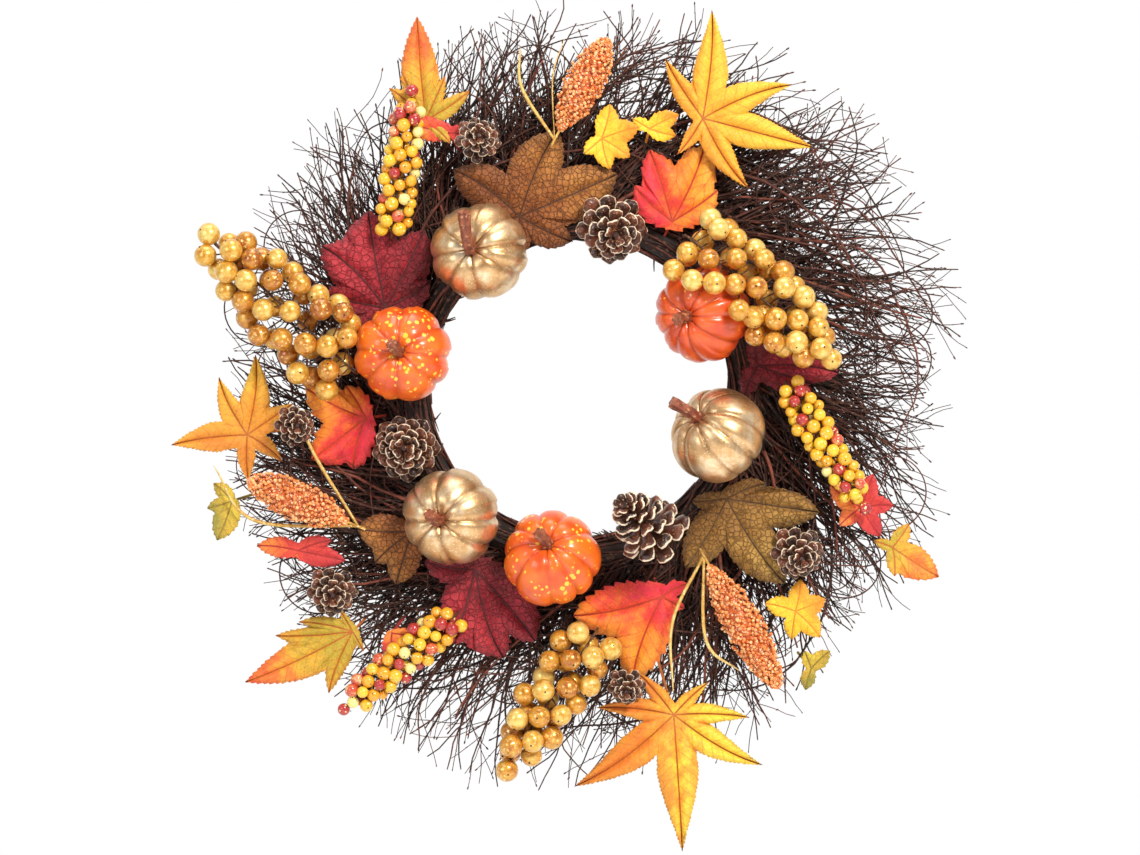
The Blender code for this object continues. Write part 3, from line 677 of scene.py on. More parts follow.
@dataclass(frozen=True)
class PlainGround(Finish):
    """Matt white studio floor paint."""

    name: str = "matt_white_floor_paint"

    def paint(self, tree: bpy.types.NodeTree, shader: bpy.types.Node) -> None:
        """Nearly even white."""
        spot = add(tree, "TexCoord").outputs["Object"]
        cloud = add(tree, "TexNoise", {"Vector": spot, "Scale": per_metre(400.0)})
        color = add(tree, "ValToRGB", {"Fac": cloud.outputs["Fac"]}, ((0.3, "#f3f3f1"), (0.7, "#f7f7f5")))
        shader.inputs["Roughness"].default_value = 0.9
        tree.links.new(color.outputs["Color"], shader.inputs["Base Color"])


# Dry birch bark: dark red-brown skin, redder on thicker stems, with pale pores.
BARK = Mottled("dry_birch_bark", ((0.0, "#1d0f0b"), (0.4, "#3a1f16"), (0.75, "#5a2d22"), (1.0, "#8a4634")),
               "#6b4a38", 5.0, 1.6, 0.72, spread=0.4, fleck_share=0.12, relief_mm=0.3)
# Moulded resin stalk, brushed brown: satin, with worn ridges.
STALK = Mottled("brown_paint_on_resin_stalk", ((0.0, "#4a2214"), (0.5, "#7a3c28"), (1.0, "#b06a48")),
                "#c08a62", 4.0, 1.4, 0.5, spread=0.6, fleck_share=0.1, relief_mm=0.4)
# Real pine cone scales, varnished, with glitter frosted on their lips; the pale lips are partly a painted
# highlight.
CONE = Mottled("frosted_and_highlit_pine_cone_scale", ((0.0, "#2a130c"), (0.45, "#522a1b"), (0.8, "#7e4530"),
                                           (1.0, "#a86a48")),
               "#c08a60", 3.0, 0.9, 0.45, coat=0.35, spread=0.35, fleck_share=0.06, relief_mm=0.2,
               rim="#f0dcc0")
# Lacquered foam berry, gold under a mottle of pale yellow.
GOLD_BERRY = Mottled("mottled_gold_berry_lacquer", ((0.0, "#a4581a"), (0.35, "#c88429"), (0.7, "#dfa93f"),
                                                    (1.0, "#efcd72")),
                     "#f4d688", 4.5, 1.1, 0.3, coat=0.7, spread=0.6, fleck_share=0.1, relief_mm=0.12,
                     metallic=0.35)
# Lacquered foam berry in three even colours.
SMALL_BERRY = Mottled("bright_berry_lacquer", ((0.0, "#e89a1c"), (0.52, "#f3c934"), (0.6, "#ecdc6c"),
                                               (0.74, "#f3e6a4"), (0.8, "#cf5638"), (1.0, "#a8222f")),
                      "#ffe9a0", 4.0, 1.2, 0.25, coat=0.7, spread=0.08, fleck_share=0.05, relief_mm=0.08)
# Foam beads rolled in orange flock.
SEED = Mottled("orange_millet_bead_coat", ((0.0, "#bf5518"), (0.35, "#df7a32"), (0.7, "#ec9a52"),
                                           (1.0, "#f6c283")),
               "#fbe0b8", 2.4, 0.7, 0.6, spread=0.3, fleck_share=0.2, relief_mm=0.1)
# Split raffia: straw with long pale fibres.
STRAW = Mottled("split_raffia_straw", ((0.0, "#a8772e"), (0.5, "#d9ae58"), (1.0, "#f0d58c")),
                "#f6e3a8", 3.0, 0.9, 0.6, spread=0.6, fleck_share=0.12, relief_mm=0.15)
# Paper-wrapped stem wire.
STEM = Mottled("paper_wrapped_stem_wire", ((0.0, "#3a2316"), (1.0, "#6e4a2c")), "#8a6440", 3.0, 0.8, 0.7)
GOLD = GoldPaint()
LACQUER = SpeckledLacquer()
# Deeper orange; its #a93010 is the painted shade in the grooves and dimples.
DEEP_LACQUER = SpeckledLacquer("deep_orange_lacquer_on_foam", "#e85f20", "#cf4412", "#a93010", "#f8b84a",
                               3.2, 0.3)
WIRE = AnnealedWire()


def star_cloth(name: str, stops: tuple[tuple[float, str], ...], edge: str) -> LeafCloth:
    """Printed polyester star leaf: yellow to orange with brown-orange V veins."""
    return LeafCloth(name, Veins.FEATHER, stops, "#b8661e", edge, vein_pitch_mm=7.5, vein_mm=0.8,
                     net_mm=2.6, net_share=0.12, edge_share=0.35, vein_share=0.35)


STAR_TOP = star_cloth("yellow_star_leaf_cloth", (
    (0.1, "#e08e26"), (0.4, "#eeac2e"), (0.8, "#f6c83e")), "#e89a2a")
STAR_LEFT = star_cloth("amber_star_leaf_cloth", (
    (0.1, "#e8b636"), (0.4, "#e39c2c"), (0.8, "#d9832a")), "#efb540")
STAR_LOW = star_cloth("orange_yellow_star_leaf_cloth", (
    (0.22, "#dc7a20"), (0.5, "#e9a02e"), (0.72, "#f3d03c")), "#cf9c34")
# Velvet-flocked polyester: deep colour, soft bloom at glancing angles, dark printed net.
BROWN_TOP = LeafCloth("golden_brown_velvet_leaf_cloth", Veins.NET, (
    (0.15, "#7c4012"), (0.5, "#99581e"), (0.9, "#bd7c34")), "#4e260a", "#6c3a12", vein_pitch_mm=11.0,
    vein_mm=0.7, net_mm=3.4, net_share=0.6, sheen=0.1, relief_mm=2.4)
BROWN_RIGHT = LeafCloth("olive_brown_velvet_leaf_cloth", Veins.NET, (
    (0.15, "#84591e"), (0.5, "#a0742e"), (0.9, "#bd9648")), "#573610", "#7c5420", vein_pitch_mm=11.0,
    vein_mm=0.7, net_mm=3.4, net_share=0.6, sheen=0.1, relief_mm=2.4)
BURGUNDY = LeafCloth("burgundy_velvet_leaf_cloth", Veins.CRINKLE, (
    (0.1, "#6a0e1a"), (0.5, "#9c1a2a"), (0.9, "#c0323e")), "#540a14", "#7c1420", vein_pitch_mm=13.0,
    vein_mm=0.8, net_mm=4.4, net_share=0.45, sheen=0.08, relief_mm=3.0)
# Printed polyester that fades from red or pink through orange to yellow.
SUNSET = LeafCloth("sunset_print_leaf_cloth", Veins.FEATHER, (
    (0.12, "#f2a42c"), (0.42, "#ee7e22"), (0.6, "#e84a2a"), (0.8, "#d8263c")), "#b83a1c", "#e65a2c",
    vein_pitch_mm=8.0, vein_mm=0.9, net_mm=4.5, net_share=0.22, edge_share=0.25)
SMALL_YELLOW = LeafCloth("yellow_leaf_cloth", Veins.FEATHER, (
    (0.1, "#f8d234"), (0.5, "#f6c02c"), (0.9, "#ee8f26")), "#d58a1e", "#f2a228", vein_pitch_mm=6.0,
    vein_mm=0.7, net_mm=3.0, net_share=0.15, edge_share=0.3)
AUTUMN = LeafCloth("yellow_to_red_leaf_cloth", Veins.FEATHER, (
    (0.25, "#b89e2c"), (0.55, "#d8a42c"), (0.78, "#ea742a"), (1.0, "#d8402c")), "#b8641c", "#dc7a28",
    vein_pitch_mm=6.5, vein_mm=0.7, net_mm=3.0, net_share=0.15, edge_share=0.3)
GREENISH = LeafCloth("green_yellow_leaf_cloth", Veins.FEATHER, (
    (0.1, "#d8c03a"), (0.5, "#c2a032"), (0.9, "#8f8a34")), "#8a7424", "#b8902c", vein_pitch_mm=6.0,
    vein_mm=0.7, net_mm=3.0, net_share=0.15, edge_share=0.35)
SMALL_RED = LeafCloth("red_leaf_cloth", Veins.FEATHER, (
    (0.1, "#f08a30"), (0.4, "#dc4430"), (0.9, "#bf2a34")), "#a32424", "#d24a4a", vein_pitch_mm=6.0,
    vein_mm=0.7, net_mm=3.0, net_share=0.15, edge_share=0.3)


# --------------------------------------------------------------------------- brushwood and wire


@dataclass
class Brush:
    """Fine brushwood whose twigs leave the ring outward and clockwise, in loose sprigs."""

    ring: Ring
    bundles: int = 8
    sprigs: int = 24
    twigs: int = 8
    step: float = 8.0
    reach: float = 221.0
    longer: float = 13.0
    longest_at: float = 55.0
    hang: float = 28.0
    hang_at: float = 192.0
    swing_room: float = 9.0
    swing_side: float = 7.0
    swing_top: float = 9.0
    wall: float = 3.0
    stems: int = 4
    tendrils: int = 5
    shares: tuple[float, ...] = (1.0, 0.88, 0.74, 0.6)
    chances: tuple[float, ...] = (0.32, 0.26, 0.22, 0.2)
    kink: float = 6.2
    inner_reach: float = 12.0
    twig_length: float = 270.0
    branch_step: float = 6.0
    stem_length: float = 150.0
    sweep: float = 46.0
    thick: float = 2.6
    thin: float = 0.75
    seed: int = 11

    def __post_init__(self) -> None:
        """Notes the box of the hanging loop, which needs room to swing."""
        self.loop_low, self.loop_high = (np.array(corner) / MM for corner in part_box("hanging_loop"))

    def build(self) -> None:
        """Makes one piece for each bundle, with its sprigs and its few curly and thick stems."""
        rng = np.random.default_rng(self.seed)
        for number in range(self.bundles):
            pile, buds = Pile(), []
            middle = 360 / self.bundles * (number + 0.5)
            for k in range(self.sprigs):
                clock = middle - 34 + 46 * (k + rng.uniform(0, 1)) / self.sprigs
                off = float(np.clip(rng.normal(self.sweep, 13), 16, 76))
                share = rng.choice(self.shares, p=self.chances)
                bend = rng.normal(0.5, 1.3)
                for _ in range(self.twigs):
                    self.twig(pile, buds, rng, clock + rng.normal(0, 2.0), off + rng.normal(0, 6),
                              share * rng.uniform(0.9, 1.04), bend + rng.normal(0, 0.7))
            for _ in range(self.stems):
                self.stem(pile, rng, middle + rng.uniform(-30, 12))
            for _ in range(self.tendrils):
                self.tendril(pile, rng, middle + rng.uniform(-22, 22))
            self.bud(pile, buds, rng)
            settle(pile.build(f"twigs_{number + 1}", BARK), "brushwood", f"twig_bundle_{number + 1}")

    def clear(self, place: np.ndarray) -> np.ndarray:
        """Moves a place off the wall, behind the leaves, and out of the hanging loop's way.

        Args:
            place: A place in millimetres.

        Returns:
            The place, with its depth kept in bounds.
        """
        side, top = self.swing_side, self.swing_top
        beside = self.loop_low[0] - side < place[0] < self.loop_high[0] + side
        beside = beside and self.loop_low[2] - side < place[2] < self.loop_high[2] + top
        back = self.loop_low[1] - self.swing_room if beside else self.wall
        return np.array((place[0], float(np.clip(place[1], self.ring.front + 1, back)), place[2]))

    def limit(self, place: np.ndarray) -> float:
        """How far from the ring's middle twigs may reach in a place's direction."""
        angle = math.atan2(place[0] - self.ring.middle[0], place[2] - self.ring.middle[1])
        low = max(0.0, math.cos(angle - math.radians(self.hang_at))) ** 3
        return self.reach + self.longer * math.cos(angle - math.radians(self.longest_at)) + self.hang * low

    def walk(self, rng: np.random.Generator, place: np.ndarray, heading: float, bend: float,
             length: float, share: float, rise: float, step: float) -> tuple[np.ndarray, np.ndarray]:
        """Grows a twig step by step.

        Args:
            rng: Source of the kinks.
            place: Where it starts.
            heading: Clock angle that it starts in.
            bend: Degrees that it turns clockwise a step.
            length: How long it gets.
            share: Share of the brush's reach at which it stops.
            rise: Depth that it gains a step.
            step: Length of a step.

        Returns:
            Its points and the heading at each.
        """
        middle = np.array((self.ring.middle[0], 0.0, self.ring.middle[1]))
        place = self.clear(place)
        points, headings = [place], [heading]
        for _ in range(max(2, int(length / step))):
            bend += rng.normal(0, 0.75) - 0.06 * bend
            heading += bend + rng.normal(0, self.kink)
            place = place + toward(heading) * step + np.array((0.0, rise + rng.normal(0, 0.6), 0.0))
            place = self.clear(place)
            points.append(place)
            headings.append(heading)
            far = math.hypot(*(place - middle)[[0, 2]])
            if far > self.limit(place) * share or far < self.ring.radius - self.inner_reach:
                break
        return np.array(points), np.array(headings)

    def twig(self, pile: Pile, buds: list, rng: np.random.Generator, clock: float, off: float,
             share: float, bend: float) -> None:
        """Adds one branched twig.

        Args:
            pile: The bundle that it joins.
            buds: Where its buds go, with their size.
            rng: Source of its variety.
            clock: Where on the ring it starts.
            off: Degrees clockwise of outward that it starts in.
            share: Share of the brush's reach at which it stops.
            bend: Degrees that it turns clockwise a step.
        """
        start = self.ring.at(clock, rng.uniform(-9, 13), rng.uniform(-24, -4))
        rise = (rng.uniform(-33, 2) - start[1]) / 18
        points, headings = self.walk(rng, start, clock + off, bend, self.twig_length, share,
                                     rise, self.step)
        if len(points) < 4:
            return
        base = self.thick / 2 * rng.uniform(0.55, 1.1)
        tint = rng.uniform(0.05, 0.75)
        radii = np.linspace(base, self.thin / 2, len(points))
        pile.tube(points * MM, radii * MM, 4, tint=tint)
        for side in rng.choice((-1, 1), rng.integers(4, 8)):
            k = int(rng.integers(1, len(points) - 1))
            angle = headings[k] + side * rng.uniform(18, 55)
            branch, turns = self.walk(rng, points[k], angle, -side * rng.uniform(-1, 4), rng.uniform(12, 56),
                                      share + 0.03, rng.uniform(-1.2, 0.9), self.branch_step)
            size = max(radii[k] * 0.6, self.thin * 0.45)
            pile.tube(branch * MM, np.linspace(size, self.thin * 0.38, len(branch)) * MM, 3, tint=tint)
            if rng.random() < 0.55:
                buds.append((branch[-1], turns[-1], rng.uniform(0.45, 0.8)))
            if rng.random() < 0.5:
                buds.append((branch[len(branch) // 2], turns[0] + side * 30, rng.uniform(0.4, 0.7)))
        buds.append((points[-1], headings[-1], rng.uniform(0.45, 0.8)))

    def bud(self, pile: Pile, buds: list, rng: np.random.Generator) -> None:
        """Adds the buds, longer than wide along their twig."""
        places = np.array([place for place, _, _ in buds]) * MM
        frames = np.array([frame_along(toward(heading)) * (np.array((0.8, 0.8, 1.9)) * size * MM)
                           for _, heading, size in buds])
        pile.scatter(ball(1), frames, places, tint=rng.uniform(0.2, 0.8, len(buds)))

    def stem(self, pile: Pile, rng: np.random.Generator, clock: float) -> None:
        """Adds one thick reddish stem."""
        start = self.ring.at(clock, rng.uniform(0, 12), rng.uniform(-26, -14))
        points, _ = self.walk(rng, start, clock + rng.uniform(35, 62), rng.normal(1, 0.8),
                              self.stem_length, 0.9, rng.uniform(-0.7, 0.2), self.step)
        radii = np.linspace(1.45, 0.55, len(points)) * rng.uniform(0.8, 1.15)
        pile.tube(points * MM, radii * MM, 6, tint=rng.uniform(0.85, 1.0))

    def tendril(self, pile: Pile, rng: np.random.Generator, clock: float) -> None:
        """Adds one thin curly end that loops back on itself."""
        out = rng.uniform(60, 96)
        middle = self.ring.at(clock, out, rng.uniform(-34, -12))
        size, turns = rng.uniform(9, 19), rng.uniform(0.7, 1.5)
        side = rng.choice((-1, 1))
        points = [middle + toward(clock + 150) * (size + 34) + np.array((0, 6.0, 0))]
        for t in np.linspace(0, 1, 22):
            angle = clock + 150 + side * 360 * turns * t
            points.append(middle + toward(angle) * size * (1 + 0.7 * (1 - t)) + np.array((0, -5 * t, 0)))
        path = smooth_path([self.clear(point) for point in points], 52)
        pile.tube(path * MM, np.linspace(0.55, 0.3, len(path)) * MM, 4, tint=rng.uniform(0.3, 0.7))


@dataclass
class Core:
    """Bound ring: long strands laid along the solid core, and broken ends at its inner edge."""

    ring: Ring
    strands: int = 200
    spurs: int = 90
    width: float = 19.0
    seed: int = 5

    def build(self, solid: bpy.types.Object) -> None:
        """Makes the strands and dresses the core under them.

        Args:
            solid: The CAD node that stays as the core.
        """
        rng = np.random.default_rng(self.seed)
        low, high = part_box("twig_core")
        outer = (high.x - low.x) / 2 / MM - self.ring.radius
        shift, half_w = outer - self.width / 2, self.width / 2
        deep, half_d = (low.y + high.y) / 2 / MM, (high.y - low.y) / 2 / MM
        pile = Pile()
        for _ in range(self.strands):
            start, span = rng.uniform(0, 360), rng.uniform(28, 95)
            phase, twist = rng.uniform(0, 360), rng.normal(0, 70)
            lift = rng.uniform(-0.6, 1.7)
            points = []
            for t in np.linspace(0, 1, 15):
                angle = math.radians(phase + twist * t)
                gap = lift + 0.7 * math.sin(9 * t + phase)
                y = deep + (half_d + min(gap, 1.2)) * math.sin(angle)
                points.append(self.ring.at(start + span * t, shift + (half_w + gap) * math.cos(angle), y))
            size = rng.uniform(0.5, 1.05)
            radii = size * np.interp(np.linspace(0, 1, 15), (0, 0.1, 0.9, 1), (0.3, 1, 1, 0.3))
            pile.tube(np.array(points) * MM, radii * MM, 5, tint=rng.uniform(0.1, 0.9))
        for _ in range(self.spurs):
            clock = rng.uniform(0, 360)
            root = self.ring.at(clock, shift - half_w + 2, rng.uniform(-24, -5))
            tip = root + toward(clock + rng.uniform(95, 155)) * rng.uniform(4, 11)
            tip[1] += rng.uniform(-4, 4)
            pile.tube(smooth_path((root, (root + tip) / 2 + rng.normal(0, 0.6, 3), tip), 6) * MM,
                      np.linspace(0.7, 0.3, 6) * MM, 4, tint=rng.uniform(0.1, 0.8))
        settle(pile.build("ring_strands", BARK), "brushwood")
        solid.data.materials[0] = BARK.material()


# --------------------------------------------------------------------------- pumpkins


@dataclass(frozen=True)
class Pumpkin:
    """Ribbed pumpkin and its fluted stalk."""

    place: str
    tilt: tuple[float, float]
    lean: tuple[float, float]
    stalk: float
    finish: Finish
    slot: str
    lobes: int = 9
    depth: float = 0.09
    turn: float = 0.0
    around: int = 168
    down: int = 60

    def axis(self) -> np.ndarray:
        """Direction from its base to its stalk."""
        side, up = self.tilt
        return np.array((side, -math.sqrt(1 - side ** 2 - up ** 2), up))

    def build(self) -> None:
        """Makes the body and the stalk."""
        node = "pumpkin_" + self.place
        middle = middle_of(node)
        frame = frame_along(self.axis())
        settle(self.body(node, middle, frame), self.slot, node)
        settle(self.stem(middle), "stalk", "stalk_" + self.place)

    def body(self, node: str, middle: np.ndarray, frame: np.ndarray) -> bpy.types.Object:
        """Makes the ribbed body.

        Args:
            node: The CAD node that it stands for.
            middle: Its middle, in millimetres.
            frame: Its axes as columns.

        Returns:
            The piece.
        """
        theta = 2 * np.pi * np.arange(self.around) / self.around
        phi = np.linspace(0, np.pi, self.down)[:, None]
        uneven = theta + 0.09 * np.sin(2 * theta + self.turn) + 0.05 * np.sin(3 * theta + 2 * self.turn)
        swell = np.abs(np.sin(self.lobes * uneven / 2 + self.turn))
        crease = (1 - swell) ** 1.7
        wide = np.sin(phi) ** 0.9
        rib = 1 - self.depth * crease * np.clip(wide * 2.2, 0.35, 1)
        size = 1 + 0.022 * np.sin(self.turn + np.floor(self.lobes * uneven / (2 * np.pi) + 0.5) * 2.1)
        sink = 0.28 * np.clip(1 - wide / 0.55, 0, None) ** 2
        half = PUMPKIN_H / 2 / 0.9
        high = (np.cos(phi) - np.sign(np.cos(phi)) * sink) * half - 0.05 * half * crease * np.cos(phi)
        spread = wide * rib * size * PUMPKIN_D / 2
        local = np.stack([spread * np.cos(theta), spread * np.sin(theta),
                          np.broadcast_to(high, spread.shape)], axis=-1)
        points = (local @ frame.T + middle) * MM
        # Painted shade mask: how deep each point lies in a crease or dimple, which the finish darkens.
        value = np.clip(crease ** 1.3 * (0.45 + 0.55 * np.clip(1.4 - wide, 0, 1)) + 0.55 * sink / 0.28, 0, 1)
        ids = np.arange(self.down * self.around).reshape(self.down, self.around)
        turn = np.roll(ids, -1, axis=1)
        quads = np.stack([ids[:-1], ids[1:], turn[1:], turn[:-1]], axis=-1)[1:-1].reshape(-1, 4)
        tris = [(ids[0, 0], ids[1, j], turn[1, j]) for j in range(self.around)]
        tris += [(ids[-1, 0], turn[-2, j], ids[-2, j]) for j in range(self.around)]
        pile = Pile()
        used, flat = np.unique(np.concatenate([quads.ravel(), np.array(tris).ravel()]), return_inverse=True)
        pile.put(points.reshape(-1, 3)[used], flat[quads.size:].reshape(-1, 3),
                 flat[:quads.size].reshape(-1, 4), groove=value.ravel()[used])
        return pile.build(node + "_skin", self.finish)

    def stem(self, middle: np.ndarray) -> bpy.types.Object:
        """Makes the fluted stalk, flared at its foot and cut off at its end.

        Args:
            middle: The pumpkin's middle, in millimetres.

        Returns:
            The piece.
        """
        axis = self.axis()
        foot = middle + axis * (PUMPKIN_H / 2 / 0.9 * 0.72 + 3 * FIT_GAP)
        lean = np.array((self.lean[0], 0.0, self.lean[1]))
        knots = [foot - axis * 1.6, foot + axis * 0.6, foot + axis * 2.8]
        for s in (0.35, 0.7, 1.0):
            knots.append(foot + axis * (2.8 + (self.stalk - 2.8) * s * 0.8) + lean * self.stalk * s * s)
        path = smooth_path(knots, 26)
        shares = (0, 0.08, 0.2, 0.4, 0.8, 0.93, 1.0)
        radii = np.interp(np.linspace(0, 1, 26), shares, (0.86, 0.78, 0.52, 0.4, 0.37, 0.43, 0.4)) * STALK_D
        flute = 1 + 0.17 * np.cos(5 * 2 * np.pi * np.arange(40) / 40)
        tint = 0.35 + 0.3 * np.linspace(0, 1, 26)
        pile = Pile()
        pile.tube(path * MM, radii * MM, 40, flute, tint=tint)
        return pile.build("stalk_" + self.place + "_fluted", STALK, creases=True)


# --------------------------------------------------------------------------- pine cones


@dataclass(frozen=True)
class PineCone:
    """Open cone whose woody scales sit on a golden spiral."""

    place: str
    diameter: float
    length: float
    aim: tuple[float, float, float]
    scales: int = 34

    def scale_shape(self) -> tuple[np.ndarray, np.ndarray, np.ndarray]:
        """One scale, 1 long along +Z, with its upper face to +Y: narrow root, broad thick lip.

        Returns:
            Its points, its triangles and how near each point is to the lip's edge.
        """
        rows, cols = 8, 7
        along = np.linspace(0, 1, rows)[:, None]
        across = np.linspace(-1, 1, cols)[None]
        half = np.interp(along, (0, 0.35, 0.72, 0.9, 1), (0.12, 0.18, 0.29, 0.27, 0.13))
        drop = 0.1 * across ** 2 * along
        thick = np.interp(along, (0, 0.5, 0.85, 1), (0.05, 0.06, 0.14, 0.07)) * (1 - 0.5 * across ** 2)
        keel = np.interp(along, (0, 0.6, 0.84, 1), (0, 0.01, 0.09, 0.0)) * (1 - np.abs(across))
        bend = 0.07 * along ** 2.5
        reach = along - 0.05 * across ** 2 * (along > 0.95)
        x = half * across
        top = np.stack([x, -drop + bend + keel + thick / 2, np.broadcast_to(reach, x.shape)], axis=-1)
        low = np.stack([x, -drop + bend - thick / 2, np.broadcast_to(reach, x.shape)], axis=-1)
        points = np.concatenate([top.reshape(-1, 3), low.reshape(-1, 3)])
        ids = np.arange(rows * cols).reshape(rows, cols)
        quads = np.stack([ids[:-1, :-1], ids[:-1, 1:], ids[1:, 1:], ids[1:, :-1]], axis=-1).reshape(-1, 4)
        under = quads[:, ::-1] + rows * cols
        loop = np.concatenate([ids[0], ids[1:, -1], ids[-1, -2::-1], ids[-2:0:-1, 0]])
        after = np.roll(loop, -1)
        wall = np.stack([after, loop, loop + rows * cols, after + rows * cols], axis=-1)
        faces = np.concatenate([quads, under, wall])
        tris = np.concatenate([faces[:, [0, 1, 2]], faces[:, [0, 2, 3]]])
        # Mask for the pale lips: partly glitter frost, partly a painted highlight on the edges.
        rim = np.maximum(np.abs(across) ** 3 * (along > 0.55), np.interp(along, (0, 0.85, 1), (0, 0.1, 1)))
        return points, tris, np.tile(np.broadcast_to(rim, x.shape).ravel(), 2)

    def build(self) -> None:
        """Makes the spiral of scales round a slim core."""
        node = "pinecone_" + self.place
        frame, middle = frame_along(self.aim), middle_of(node)
        points, tris, rim = self.scale_shape()
        radius, core = self.diameter / 2, self.diameter * 0.09
        frames, places, tints = [], [], []
        for k in range(self.scales):
            t = (k + 0.5) / self.scales
            width = radius * (1 - 0.74 * t ** 1.5)
            lift = math.radians(-14 + 64 * t)
            size = (width - core * (1 - t)) / math.cos(lift)
            turn = GOLDEN_ANGLE * k
            outward = np.array((math.cos(turn), math.sin(turn), 0.0))
            aim = outward * math.cos(lift) + np.array((0, 0, math.sin(lift)))
            up = np.array((0, 0, math.cos(lift))) - outward * math.sin(lift)
            side = np.cross(up, aim)
            foot_z = self.length * (-0.36 + 0.78 * t) - size * math.sin(lift) * 0.35
            foot = outward * core * (1 - t) + np.array((0, 0, foot_z))
            frames.append(frame @ np.stack([side, up, aim], axis=1) * size * MM)
            places.append((frame @ foot + middle) * MM)
            tints.append(0.35 + 0.3 * math.sin(k * 1.7))
        pile = Pile()
        pile.scatter((points, tris), np.array(frames), np.array(places), {"rim": rim}, tint=tints)
        ends = np.array((-0.46, -0.2, 0.1, 0.4))[:, None] * self.length * np.array((0, 0, 1.0))
        pile.tube((ends @ frame.T + middle) * MM, np.array((0.7, 1.5, 1.2, 0.4)) * core * MM, 12,
                  rim=0.0, tint=0.1)
        settle(pile.build(node + "_scales", CONE, creases=True), "cone_scale", node)


# --------------------------------------------------------------------------- berries and seeds


@dataclass(frozen=True)
class BerryBunch:
    """Berries packed round a stem, each on its own short wire."""

    node: str
    start: tuple[float, float]
    heading: float
    length: float
    stand: float
    count: int
    reach: float
    size: float
    finish: Finish
    slot: str
    roll: float = 0.0
    flat: float = 0.5
    depth: float = 30.0
    tints: tuple[float, float] = (0.15, 0.95)
    mixed: bool = False
    sizes: tuple[float, float] = (0.93, 1.04)

    def ends(self, ring: Ring) -> tuple[np.ndarray, np.ndarray]:
        """Both ends of its stem, in millimetres."""
        start = ring.ahead(*self.start, self.stand)
        return start, start + toward(self.heading) * self.length

    def lay(self, ring: Ring, rng: np.random.Generator) -> tuple[np.ndarray, np.ndarray]:
        """Spreads the berries along the stem and pushes them apart until they only touch.

        Args:
            ring: The ring that gives the places.
            rng: Source of the spread.

        Returns:
            The berries' middles and the stem point of each, in millimetres.
        """
        start, end = self.ends(ring)
        line = unit(end - start)
        across = unit(np.cross(line, (0.0, 1.0, 0.0)))
        roll = math.radians(self.roll)
        side = across * math.cos(roll) + FRONT * math.sin(roll)
        deep = np.cross(line, side)
        shares = (np.arange(self.count) + 0.5) / self.count
        fade = np.sin(np.pi * np.clip(0.22 + 0.8 * shares, 0, 1)) ** 0.6 * (shares < 0.97)
        angle = GOLDEN_ANGLE * np.arange(self.count)
        far = self.reach * fade * rng.uniform(0.75, 1.12, self.count)
        spots = start + (end - start) * shares[:, None]
        spots = spots + side * (np.cos(angle) * far)[:, None]
        spots = spots + deep * (np.sin(angle) * far * self.flat)[:, None]
        axis = start + (end - start) * np.clip(shares - 0.06, 0, 1)[:, None]
        blocks = [middle_of("pumpkin_" + item.place) for item in pumpkins()]
        room = (PUMPKIN_D + self.size) / 2
        for _ in range(90):
            gap = spots[:, None] - spots[None]
            apart = np.linalg.norm(gap, axis=-1) + np.eye(self.count) * 99
            push = np.clip(self.size * sum(self.sizes) * 0.492 - apart, 0, None) / apart * 0.5
            spots = spots + (gap * push[..., None]).sum(1) + (axis - spots) * 0.002
            for block in blocks:
                away = spots - block
                off = np.linalg.norm(away, axis=1)[:, None]
                spots = spots + away / off * np.clip(room - off, 0, None)
            spots[:, 1] = np.clip(spots[:, 1], start[1] - self.depth, ring.front - 3)
        return spots, axis

    def build(self, ring: Ring, seed: int) -> None:
        """Makes the berries and their wires.

        Args:
            ring: The ring that gives the places.
            seed: Seed of the spread.
        """
        rng = np.random.default_rng(seed)
        spots, axis = self.lay(ring, rng)
        low, high = self.tints
        tint = rng.uniform(low, high, self.count)
        if self.mixed:
            tint = np.where(rng.random(self.count) < 0.7, rng.uniform(0.05, 0.5, self.count),
                            rng.choice((0.68, 0.8, 0.95), self.count, p=(0.4, 0.25, 0.35)))
            tint[-1] = 0.97
        sizes = self.size / 2 * rng.uniform(*self.sizes, self.count) * MM
        berries = Pile()
        berries.scatter(ball(4), np.eye(3)[None] * sizes[:, None, None], spots * MM, tint=tint)
        settle(berries.build(self.node + "_berries", self.finish), self.slot, self.node)
        wires = Pile()
        start, end = self.ends(ring)
        root = start - unit(end - start) * 5
        root[1] = ring.front + 6
        wires.tube(smooth_path((root, start, (start + end) / 2, end), 14) * MM, STEM_D / 2 * MM, 6, tint=0.3)
        tips = unit(end - start) * 0.5 + FRONT * 0.6 + rng.normal(0, 0.5, (self.count, 3))
        tips /= np.linalg.norm(tips, axis=1)[:, None]
        nub = self.size * 0.045 * MM
        wires.scatter(ball(2), np.tile(np.eye(3) * nub, (self.count, 1, 1)),
                      (spots + tips * self.size * 0.49) * MM, tint=0.0)
        for spot, joint in zip(spots, axis):
            path = smooth_path((joint, (joint * 0.6 + spot * 0.4) + FRONT * -1.0, spot), 5)
            wires.tube(path * MM, 0.45 * MM, 4, tint=0.5)
        settle(wires.build(self.node + "_wires", STEM), self.slot)


